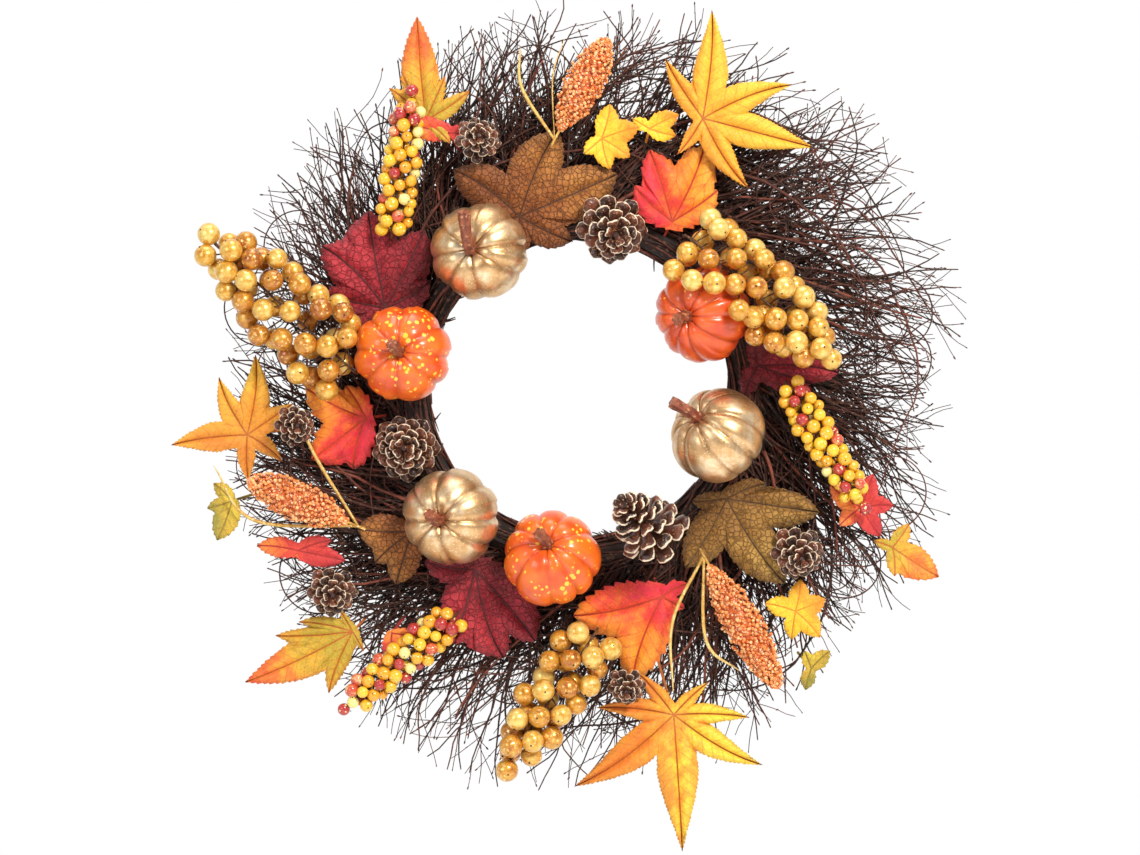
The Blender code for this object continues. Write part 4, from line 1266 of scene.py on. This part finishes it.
@dataclass(frozen=True)
class SeedHead:
    """Millet-like head of beads on a stalk, with straw blades bound to its foot."""

    place: str
    start: tuple[float, float]
    end: tuple[float, float]
    stand: float
    blades: tuple[tuple[tuple[float, float, float], ...], ...]
    seeds: int = 720

    def build(self, ring: Ring, seed: int) -> None:
        """Makes the beads with the body under them, and the blades.

        Args:
            ring: The ring that gives the places.
            seed: Seed of the beads' spread.
        """
        rng = np.random.default_rng(seed)
        node = "seed_spike_" + self.place
        start, end = ring.ahead(*self.start, self.stand), ring.ahead(*self.end, self.stand)
        line, length = unit(end - start), float(np.linalg.norm(end - start))
        frame = frame_along(line)
        shares = (0, 0.1, 0.26, 0.46, 0.66, 0.84, 0.96, 1.0)
        widths = np.array((0.12, 0.5, 0.84, 1.0, 0.94, 0.72, 0.36, 0.1)) * SPIKE_D / 2
        t = (np.arange(self.seeds) + 0.5) / self.seeds
        along = np.clip(0.5 - 0.5 * np.cos(np.pi * t ** 0.96) * 0.98, 0, 1)
        along = 0.35 * along + 0.65 * t
        angle = GOLDEN_ANGLE * np.arange(self.seeds) + rng.normal(0, 0.12, self.seeds)
        far = np.interp(along, shares, widths) - rng.uniform(-0.2, 3.2, self.seeds)
        local = np.stack([far * np.cos(angle), far * np.sin(angle), along * length], axis=-1)
        sizes = rng.uniform(0.85, 1.25, self.seeds) * MM
        pile = Pile()
        pile.scatter(ball(2), np.eye(3)[None] * sizes[:, None, None], (local @ frame.T + start) * MM,
                     tint=rng.uniform(0.1, 1.0, self.seeds))
        # Painted shade: the body under the beads takes the darkest tint so that the gaps between beads read
        # dark.
        steps = np.linspace(0, 1, 18)
        radii = np.clip(np.interp(steps, shares, widths) - 3.4, 0.4, None)
        pile.tube((start + line * length * steps[:, None] * 0.99) * MM, radii * MM, 14, tint=0.05)
        settle(pile.build(node + "_beads", SEED), "seed", node)
        foot = start - line * 9
        straw = Pile()
        straw.tube(np.array([foot - line * 3, foot, start + line * 6]) * MM, STEM_D / 2 * MM, 6, tint=0.2)
        for bend, tip in self.blades:
            path = smooth_path([foot + line * 2, ring.ahead(*bend), ring.ahead(*tip)], 26)
            self.ribbon(straw, path, rng)
        settle(straw.build(node + "_straw", STRAW), "seed")

    @staticmethod
    def ribbon(pile: Pile, path: np.ndarray, rng: np.random.Generator) -> None:
        """Adds one flat, slightly twisted straw blade with a rounded section.

        Args:
            pile: The mesh that it joins.
            path: Its middle line, in millimetres.
            rng: Source of its tint.
        """
        share = np.linspace(0, 1, len(path))
        radii = 0.95 * np.sin(np.pi * np.clip(share * 0.8 + 0.2, 0, 1)) ** 0.6 + 0.15
        flute = np.where(np.arange(10) % 5 == 0, 1.0, 0.42)
        pile.tube(path * MM, radii * MM, 10, flute, tint=0.3 + 0.5 * share + rng.uniform(-0.1, 0.1))


# --------------------------------------------------------------------------- leaves


@dataclass(frozen=True)
class Blade:
    """One cloth leaf: pointed lobes about a hub, a toothed edge and a curl of its own."""

    name: str
    node: str
    slot: str
    finish: Finish
    clock: float
    out: float
    stand: float
    pitch: float
    lobes: tuple[tuple[float, float], ...]
    slim: float
    petiole: float = 0.0
    warm: float = 0.0
    tooth: float = 3.0
    deep: float = 0.7
    curl: float = 3.5
    crown: float = 1.6
    sway: float = 7.0
    shape: tuple[float, ...] = (1.0, 1.0, 0.86, 0.62, 0.33, 0.0)
    edge_step: float = 0.8
    rings: int = 11
    cloth: float = 0.45

    def hub(self, ring: Ring) -> np.ndarray:
        """Where the lobes meet, in millimetres."""
        return ring.ahead(self.clock, self.out, self.stand)

    def turn(self) -> np.ndarray:
        """Turn that brings its outer end forward by its pitch."""
        return np.array(Matrix.Rotation(math.radians(self.pitch), 3, Vector(toward(self.clock + 90))))

    def nearest(self, clocks: np.ndarray) -> tuple[np.ndarray, np.ndarray]:
        """Degrees to the nearest lobe's midrib, and that lobe's length, for each clock angle."""
        middles = np.array([clock for clock, _ in self.lobes])
        lengths = np.array([length for _, length in self.lobes])
        off = np.abs((clocks[:, None] - middles[None] + 180) % 360 - 180)
        best = off.argmin(axis=1)
        return off[np.arange(len(clocks)), best], lengths[best]

    def reach(self, clocks: np.ndarray) -> np.ndarray:
        """How far the edge is from the hub: the furthest lobe in each direction."""
        share = np.linspace(1.0, 0.3, 90)
        width = np.interp(share, (0.3, 0.46, 0.6, 0.75, 0.88, 1.0), self.shape)
        angle = np.degrees(np.arctan2(self.slim * width, share))
        found = np.zeros(len(clocks))
        for middle, length in self.lobes:
            off = np.abs((clocks - middle + 180) % 360 - 180)
            inside = np.interp(off, angle, share)
            beyond = share[-1] * angle[-1] / np.maximum(off, angle[-1])
            found = np.maximum(found, length * np.where(off < angle[-1], inside, beyond))
        return found

    def edge(self) -> tuple[np.ndarray, np.ndarray]:
        """Clock angles spaced evenly along the edge, and how far each tooth shifts it outward.

        Returns:
            The clock angles and the shifts in millimetres.
        """
        order = sorted(clock % 360 for clock, _ in self.lobes)
        clocks, shifts = [], []
        for k, tip in enumerate(order):
            gap = (order[(k + 1) % len(order)] - tip) % 360 or 360.0
            for first, last, from_tip in ((tip, tip + gap / 2, True), (tip + gap / 2, tip + gap, False)):
                dense = np.linspace(first, last, 200)
                line = toward(dense) * self.reach(dense)[:, None]
                far = np.concatenate([[0], np.cumsum(np.linalg.norm(np.diff(line, axis=0), axis=1))])
                steps = max(4, int(far[-1] / self.edge_step))
                marks = np.linspace(0, far[-1], steps + 1)[:-1]
                clocks.append(np.interp(marks, far, dense))
                left = marks if from_tip else far[-1] - marks
                taper = np.clip(left / (1.5 * self.tooth), 0, 1)
                taper = taper * np.clip((far[-1] - left) / self.tooth, 0, 1)
                shifts.append(self.deep * (0.6 - (left / self.tooth) % 1) * taper)
        return np.concatenate(clocks), np.concatenate(shifts)

    def blend(self, clocks: np.ndarray, radii: np.ndarray, most: float,
              step: float) -> tuple[np.ndarray, np.ndarray]:
        """Gives each lobe an amount of its own and runs smoothly from lobe to lobe.

        Args:
            clocks: Clock angle of each point.
            radii: Distance of each point from the hub.
            most: Largest amount.
            step: How much the phase moves from lobe to lobe.

        Returns:
            The amount at each point, and how far along its lobe it is.
        """
        order = sorted((clock % 360, length) for clock, length in self.lobes)
        tips = [clock for clock, _ in order]
        amounts = [math.sin(self.clock + step * k) * most for k in range(len(order))]
        wrapped = np.interp(clocks % 360, [tips[-1] - 360, *tips, tips[0] + 360], np.arange(len(tips) + 2))
        low = np.clip(wrapped.astype(int), 0, len(tips))
        mix = wrapped - low
        mix = mix * mix * (3 - 2 * mix)
        amount = np.array([amounts[-1], *amounts, amounts[0]])
        span = np.array([order[-1][1], *[length for _, length in order], order[0][1]])
        far = radii / (span[low] * (1 - mix) + span[low + 1] * mix)
        return amount[low] * (1 - mix) + amount[low + 1] * mix, far

    def height(self, clocks: np.ndarray, radii: np.ndarray) -> np.ndarray:
        """How far the cloth rises toward the viewer: crowned lobes whose ends curl.

        Args:
            clocks: Clock angle of each point.
            radii: Distance of each point from the hub.

        Returns:
            The heights in millimetres.
        """
        rise, far = self.blend(clocks, radii, self.curl, 2.4)
        rise = rise * far ** 2.2
        off, length = self.nearest(clocks)
        run, rib = radii * np.cos(np.radians(off)), radii * np.sin(np.radians(off))
        width = self.slim * length * np.interp(run / length, (0, 0.3, 0.5, 0.8, 1.0), (0.8, 1, 1, 0.56, 0.05))
        crown = np.sin(np.pi * np.clip(rib / width, 0, 1) ** 0.8) * np.clip(run / (0.25 * length), 0, 1)
        ripple = np.sin(np.radians(clocks) * 7 + self.clock) * np.clip(far, 0, 1.2) ** 2 * 0.8
        return rise + self.crown * crown * np.clip(length / 50, 0.4, 1.2) + ripple

    def spread(self, ring: Ring, flat: np.ndarray, clocks: np.ndarray, behind: float = 0.0) -> np.ndarray:
        """Lifts flat points to the cloth's surface, pitched about the hub.

        Args:
            ring: The ring that gives the hub.
            flat: Points about the hub, in the wreath's plane.
            clocks: Their clock angles.
            behind: How far behind the surface they go.

        Returns:
            The places in metres.
        """
        radii = np.hypot(flat[:, 0], flat[:, 2])
        sway, far = self.blend(clocks, radii, self.sway, 1.9)
        angle = np.radians(sway * np.clip(far, 0, 1.1) ** 1.6)
        swayed = flat * np.cos(angle)[:, None]
        swayed = swayed + np.stack([flat[:, 2], flat[:, 1], -flat[:, 0]], axis=-1) * np.sin(angle)[:, None]
        raised = swayed + FRONT * (self.height(clocks, radii) - behind)[:, None]
        return (raised @ self.turn().T + self.hub(ring)) * MM

    def build(self, ring: Ring) -> None:
        """Makes the cloth, front and back, with its ribs and its stalk."""
        clocks, shifts = self.edge()
        count = len(clocks)
        line = toward(clocks) * self.reach(clocks)[:, None]
        run = np.roll(line, -1, axis=0) - np.roll(line, 1, axis=0)
        outward = np.stack([-run[:, 2], np.zeros(count), run[:, 0]], axis=-1)
        outward /= np.linalg.norm(outward, axis=1)[:, None] + 1e-9
        shares = np.linspace(0, 1, self.rings + 1)[1:] ** 0.85
        flat = [line * s + outward * (shifts * s ** 6)[:, None] for s in shares]
        flat = np.concatenate([np.zeros((1, 3)), *flat])
        around = np.concatenate([[self.lobes[0][0]], np.tile(clocks, self.rings)])
        radii = np.hypot(flat[:, 0], flat[:, 2])
        off, _ = self.nearest(around)
        across = flat @ toward(self.warm)
        shade = (across - across.min()) / np.ptp(across)
        values = {"rib": radii * np.sin(np.radians(off)), "run": radii * np.cos(np.radians(off)),
                  "rim": np.concatenate([[0], np.repeat(shares, count)]), "shade": shade}
        front = self.spread(ring, flat, around)
        back = front - self.turn() @ FRONT * self.cloth * MM
        total = len(front)
        ids = 1 + np.arange(self.rings * count).reshape(self.rings, count)
        turn = np.roll(ids, -1, axis=1)
        quads = np.stack([ids[:-1], ids[1:], turn[1:], turn[:-1]], axis=-1).reshape(-1, 4)
        tris = np.stack([np.zeros(count, int), ids[0], turn[0]], axis=-1)
        wall = np.stack([ids[-1], ids[-1] + total, turn[-1] + total, turn[-1]], axis=-1)
        pile = Pile()
        pile.put(np.concatenate([front, back]), np.concatenate([tris, tris[:, ::-1] + total]),
                 np.concatenate([quads, quads[:, ::-1] + total, wall]),
                 **{key: np.tile(value, 2) for key, value in values.items()})
        self.ribs(pile, ring)
        piece = pile.build(self.name, self.finish)
        settle(piece, self.slot, self.node)

    def ribs(self, pile: Pile, ring: Ring) -> None:
        """Adds the moulded rib behind each lobe, and the stalk.

        Args:
            pile: The mesh that they join.
            ring: The ring that gives the hub.
        """
        plain = {"rib": 0.0, "run": 0.0, "rim": 0.0, "shade": 0.5}
        for clock, length in self.lobes:
            steps = np.linspace(0.02, 0.86, 12)
            path = self.spread(ring, toward(clock) * (steps * length)[:, None], np.full(12, clock),
                               self.cloth + 0.3)
            pile.tube(path, np.linspace(0.62, 0.25, 12) * MM, 6, **plain)
        inward = max(self.petiole, 12.0)
        hub = self.hub(ring) - FRONT * (self.cloth + 0.3)
        end = hub + toward(self.clock + 180) * inward
        end[1] = ring.front + 7
        path = smooth_path((hub, hub * 0.55 + end * 0.45 + FRONT * 1.5, end), 12)
        pile.tube(path * MM, np.linspace(0.75, 0.9, 12) * MM, 8, **plain)



def leaf_blades() -> list[Blade]:
    """Every leaf of the wreath; the picks have two blades each."""
    star = {"tooth": 2.6, "deep": 1.0, "curl": 6.5, "crown": 3.2, "sway": 9.0,
            "shape": (0.95, 0.93, 0.72, 0.45, 0.2, 0.0)}
    broad = {"tooth": 4.5, "deep": 1.1, "curl": 5.0, "crown": 3.4, "rings": 9,
             "shape": (1.0, 1.0, 0.94, 0.78, 0.48, 0.0)}
    frond = {"tooth": 7.0, "deep": 2.6, "curl": 7.0, "crown": 4.0, "sway": 9.0,
             "shape": (1.0, 0.98, 0.84, 0.66, 0.42, 0.0)}
    small = {"tooth": 3.6, "deep": 1.2, "curl": 4.0, "crown": 2.4, "rings": 8}
    return [
        Blade("star_leaf_top_cloth", "star_leaf_top", "star_leaf", STAR_TOP, 24.5, 74, 9.7, 5,
              ((10, 67), (61, 59), (105, 71), (155, 52), (210, 28), (323, 44)), 0.185, 48, 60, **star),
        Blade("star_leaf_left_cloth", "star_leaf_left", "star_leaf", STAR_LEFT, 262, 99, 4.7, 1,
              ((14, 50), (56, 35), (119, 28), (184, 30), (267, 47), (325, 40)), 0.23, 40, 180, **star),
        Blade("star_leaf_bottom_cloth", "star_leaf_bottom", "star_leaf", STAR_LOW, 164, 101, 10.7, 5,
              ((42, 30), (87, 47), (128, 63), (176, 84), (226, 76), (281, 48), (323, 36)),
              0.165, 60, 95, **star),
        Blade("brown_leaf_top_cloth", "brown_leaf_top", "brown_leaf", BROWN_TOP, 340.7, 4, 1.3, 3,
              ((17, 58), (68, 66), (122, 36), (180, 26), (250, 16), (312, 50)), 0.33, 0, 40, **broad),
        Blade("brown_leaf_right_cloth", "brown_leaf_right", "brown_leaf", BROWN_RIGHT, 127, 5, 1.5, 4,
              ((62, 26), (99, 58), (152, 64), (206, 50), (262, 22)), 0.28, 0, 150, **broad),
        Blade("brown_leaf_left_cloth", "brown_leaf_left", "brown_leaf", BROWN_TOP, 229.5, 28, 1.7, 2,
              ((198, 34), (236, 30), (268, 34)), 0.4, 0, 230, **broad),
        Blade("burgundy_leaf_left_cloth", "burgundy_leaf_left", "burgundy_leaf", BURGUNDY, 292.4, 21, 2.7, 2,
              ((232, 26), (279, 41), (323, 55), (347, 61), (28, 54), (66, 32)), 0.42, 0, 300, **frond),
        Blade("burgundy_leaf_right_cloth", "burgundy_leaf_right", "burgundy_leaf", BURGUNDY, 83, 2, 1.7, 4,
              ((212, 20), (350, 18), (86, 50), (109, 32)), 0.42, 0, 90, **frond),
        Blade("burgundy_leaf_bottom_cloth", "burgundy_leaf_bottom", "burgundy_leaf", BURGUNDY,
              210, 21, 2.2, 3, ((136, 58), (171, 58), (194, 48), (272, 32)), 0.42, 0, 200, **frond),
        Blade("sunset_leaf_top_cloth", "sunset_leaf_top", "sunset_leaf", SUNSET, 29, 9, 2.7, 0,
              ((304, 32), (344, 47), (29, 52), (60, 34)), 0.4, 0, 265, **frond),
        Blade("sunset_leaf_left_cloth", "sunset_leaf_left", "sunset_leaf", SUNSET, 262, 25, 1.7, 1,
              ((203, 33), (232, 42), (289, 42), (333, 24)), 0.42, 0, 130, **frond),
        Blade("sunset_leaf_bottom_cloth", "sunset_leaf_bottom", "sunset_leaf", SUNSET, 158.6, 30, 2.2, 1,
              ((54, 18), (120, 16), (207, 55), (251, 56)), 0.36, 12, 20, **frond),
        Blade("leaf_pick_top_1", "leaf_pick_top", "small_leaf", SMALL_YELLOW, 5, 46, 6.7, 0,
              ((20, 22), (70, 24), (120, 21), (172, 20), (228, 15)), 0.44, 0, 90, **small),
        Blade("leaf_pick_top_2", "leaf_pick_top", "small_leaf", SMALL_YELLOW, 15, 57, 6.7, 0,
              ((60, 20), (110, 17), (300, 12)), 0.44, 0, 60, **small),
        Blade("leaf_pick_upper_left_1", "leaf_pick_upper_left", "small_leaf", AUTUMN, 330, 82, 8.7, 0,
              ((354, 64), (25, 30), (62, 33), (318, 30), (128, 22), (215, 16)), 0.19, 0, 350, **small),
        Blade("leaf_pick_upper_left_2", "leaf_pick_upper_left", "small_leaf", SMALL_RED, 333, 68, 8.7, 0,
              ((278, 30), (96, 24)), 0.3, 0, 90, **small),
        Blade("leaf_pick_right_1", "leaf_pick_right", "small_leaf", SMALL_RED, 113, 80, 6.7, 0,
              ((20, 22), (80, 20), (150, 22), (300, 24), (235, 18)), 0.4, 0, 90, **small),
        Blade("leaf_pick_right_2", "leaf_pick_right", "small_leaf", AUTUMN, 117, 108, 6.7, 0,
              ((40, 18), (126, 34), (170, 18), (290, 12)), 0.36, 0, 120, **small),
        Blade("leaf_pick_low_right_1", "leaf_pick_low_right", "small_leaf", SMALL_YELLOW, 136, 83, 5.7, 0,
              ((15, 20), (70, 20), (130, 22), (190, 18), (290, 20)), 0.44, 0, 60, **small),
        Blade("leaf_pick_low_right_2", "leaf_pick_low_right", "small_leaf", GREENISH, 140.5, 116, 5.7, 0,
              ((40, 16), (200, 14), (340, 12)), 0.44, 0, 140, **small),
        Blade("leaf_pick_low_left_1", "leaf_pick_low_left", "small_leaf", AUTUMN, 223, 97, 8.7, 2,
              ((241, 73), (208, 41), (263, 48), (287, 34), (330, 16), (150, 14)), 0.17, 0, 235, **small),
        Blade("leaf_pick_low_left_2", "leaf_pick_low_left", "small_leaf", SMALL_RED, 217.5, 82, 8.7, 2,
              ((184, 20), (100, 14)), 0.36, 0, 180, **small),
        Blade("leaf_pick_left_1", "leaf_pick_left", "small_leaf", GREENISH, 252, 117, 10.2, 0,
              ((196, 26), (250, 16), (320, 16)), 0.4, 0, 250, **small),
        Blade("leaf_pick_left_2", "leaf_pick_left", "small_leaf", SMALL_RED, 240, 92, 10.2, 0,
              ((66, 22), (283, 26), (102, 30)), 0.3, 0, 90, **small),
    ]


def pumpkins() -> list[Pumpkin]:
    """The six pumpkins: three gold, two speckled orange and one deeper orange."""
    return [
        Pumpkin("gold_top", (-0.22, 0.02), (0.0, 0.9), 24, GOLD, "gold_skin", 8, 0.07, turn=0.3),
        Pumpkin("gold_left", (-0.32, -0.08), (-0.1, 0.3), 17, GOLD, "gold_skin", 8, 0.07, turn=1.1),
        Pumpkin("gold_right", (-0.6, 0.5), (-0.5, 0.2), 17, GOLD, "gold_skin", 9, 0.07, turn=2.0),
        Pumpkin("orange_left", (-0.08, 0.02), (-0.2, 0.3), 15, LACQUER, "orange_skin", 8, 0.085, 0.6),
        Pumpkin("orange_bottom", (-0.12, 0.42), (-0.3, 0.2), 15, LACQUER, "orange_skin", 9, 0.085, 1.7),
        Pumpkin("orange_right", (-0.5, -0.1), (-0.1, -0.1), 14, DEEP_LACQUER, "orange_skin", 10, 0.085, 0.2),
    ]


def cones() -> list[PineCone]:
    """The eight pine cones: three large ones by the pumpkins, five small ones on picks."""
    return [
        PineCone("top", 46, 42, (0.1, -1, -0.2), 32), PineCone("left", 43, 38, (0, -1, 0), 36),
        PineCone("bottom", 46, 52, (-0.5, -0.75, 0.5), 44), PineCone("right", 35, 28, (0.1, -1, -0.2), 32),
        PineCone("lower_left", 33, 27, (0.1, -1, -0.1), 28),
        PineCone("upper_left", 30, 25, (0.1, -1, 0.1), 26),
        PineCone("far_left", 27, 23, (0.2, -1, 0), 26), PineCone("low", 25, 21, (0, -1, -0.2), 26),
    ]


def bunches() -> list[BerryBunch]:
    """The three bunches of big berries and the three sprays of small ones."""
    big = {"size": BIG_BERRY_D, "finish": GOLD_BERRY, "slot": "gold_berry"}
    little = {"size": SMALL_BERRY_D, "finish": SMALL_BERRY, "slot": "small_berry", "mixed": True,
              "sizes": (0.74, 0.96)}
    return [
        BerryBunch("berry_cluster_left", (275, 33), 312.5, 114, 25.7, 44, 29, **big),
        BerryBunch("berry_cluster_right", (37, 4), 130, 108, 36.7, 42, 31, roll=-15, **big),
        BerryBunch("berry_cluster_bottom", (177, 44), 214, 93, 22.7, 30, 19, **big),
        BerryBunch("berry_spray_top", (310, 42), 7.9, 81.2, 16.7, 56, 11, **little),
        BerryBunch("berry_spray_right", (90, 20), 148, 82.1, 18.7, 56, 11, **little),
        BerryBunch("berry_spray_bottom", (209, 53), 230, 81.6, 16.7, 60, 11, **little),
    ]


def seed_heads() -> list[SeedHead]:
    """The three seed heads with their straw blades."""
    return [
        SeedHead("top", (355.5, 50), (4.5, 106), 21.7,
                 (((349, 79, 17.7), (350, 104, 13.7)), ((355, 83, 17.7), (357.5, 107, 13.7)))),
        SeedHead("left", (240, 56), (254.5, 103), 22.7,
                 (((248, 108, 18.7), (258, 122, 14.7)), ((257, 61, 9.7), (266.5, 66, 8.7)))),
        SeedHead("bottom", (144, 26), (146.5, 112), 23.7,
                 (((158.5, 46, 19.7), (163, 87, 15.7)), ((153.5, 65, 19.7), (150.5, 92, 15.7))), 980),
    ]


# --------------------------------------------------------------------------- studio


@dataclass
class Studio:
    """Pale floor, soft light and a camera square on to the wreath."""

    side: float = -6.2
    height: float = -174.0
    distance: float = 2400.0
    plane: float = -30.0
    view_width: float = 706.8
    floor: float = -0.62

    def build(self) -> None:
        """Makes the camera, the lights, the world and the floor."""
        scene = bpy.context.scene
        lens = bpy.data.cameras.new("camera")
        lens.sensor_width = 36.0
        lens.lens = 36.0 * self.distance / self.view_width
        camera = bpy.data.objects.new("camera", lens)
        camera.location = (self.side * MM, (self.plane - self.distance) * MM, self.height * MM)
        camera.rotation_euler = (math.radians(90), 0, 0)
        scene.collection.objects.link(camera)
        scene.camera = camera
        scene.view_settings.view_transform = "Standard"
        self.lamp("key", (0.7, -1.5, 0.8), 0.45, 34.0, "#fff6ea")
        self.lamp("fill", (-1.3, -1.5, 0.2), 0.8, 9.0, "#f2f6ff")
        self.lamp("top", (0.0, -0.2, 1.3), 0.8, 8.0, "#ffffff")
        self.world(scene)
        self.ground()

    def lamp(self, name: str, place: tuple[float, float, float], size: float, power: float,
             colour: str) -> None:
        """Adds one soft light aimed at the wreath.

        Args:
            name: The light's name.
            place: Where it is, in metres.
            size: Its side in metres.
            power: Its power in watts.
            colour: Its hex colour.
        """
        light = bpy.data.lights.new(name, "AREA")
        light.size, light.energy, light.color = size, power, linear(colour)[:3]
        item = bpy.data.objects.new(name, light)
        item.location = place
        aim = Vector((self.side * MM, 0.0, self.height * MM)) - Vector(place)
        item.rotation_euler = aim.to_track_quat("-Z", "Y").to_euler()
        bpy.context.scene.collection.objects.link(item)

    @staticmethod
    def world(scene: bpy.types.Scene) -> None:
        """Surrounds the wreath with white that is brighter behind it than behind the viewer."""
        world = bpy.data.worlds.new("studio")
        scene.world = world
        world.use_nodes = True
        tree = world.node_tree
        tree.nodes.clear()
        place = add(tree, "TexCoord")
        split = add(tree, "SeparateXYZ", {0: place.outputs["Generated"]})
        level = add(tree, "MapRange", {"Value": split.outputs["Y"], "From Min": -0.6, "From Max": 0.7,
                                       "To Min": 0.38, "To Max": 1.0})
        seen = add(tree, "LightPath").outputs["Is Camera Ray"]
        strength = add(tree, "Math", {0: level.outputs["Result"], 1: seen}, operation="MAXIMUM")
        back = add(tree, "Background", {"Color": linear("#ffffff"), "Strength": strength.outputs[0]})
        output = add(tree, "OutputWorld")
        tree.links.new(back.outputs[0], output.inputs[0])

    def ground(self) -> None:
        """Makes the round floor under the wreath."""
        edge = 2 * np.pi * np.arange(96) / 96
        rim = np.stack([1.5 * np.cos(edge), 1.5 * np.sin(edge), np.full(96, self.floor)], axis=-1)
        fan = [(96, k, (k + 1) % 96) for k in range(96)]
        pile = Pile()
        pile.put(np.vstack([rim, [(0.0, 0.0, self.floor)]]), np.array(fan))
        pile.build("floor", PlainGround())


def main() -> None:
    """Builds the wreath round its frame."""
    logging.basicConfig(level=logging.INFO)
    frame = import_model()
    ring = Ring.from_frame()
    Studio().build()
    nodes = frame["nodes"]
    Brush(ring).build()
    Core(ring).build(nodes["twig_core"])
    for piece in (*pumpkins(), *cones()):
        piece.build()
    for seed, piece in enumerate((*bunches(), *seed_heads())):
        piece.build(ring, seed + 21)
    for blade in leaf_blades():
        blade.build(ring)
    for name in ("wire_frame", "hanging_loop", "binding_wire"):
        nodes[name].data.materials[0] = WIRE.material()


if __name__ == "__main__":
    main()
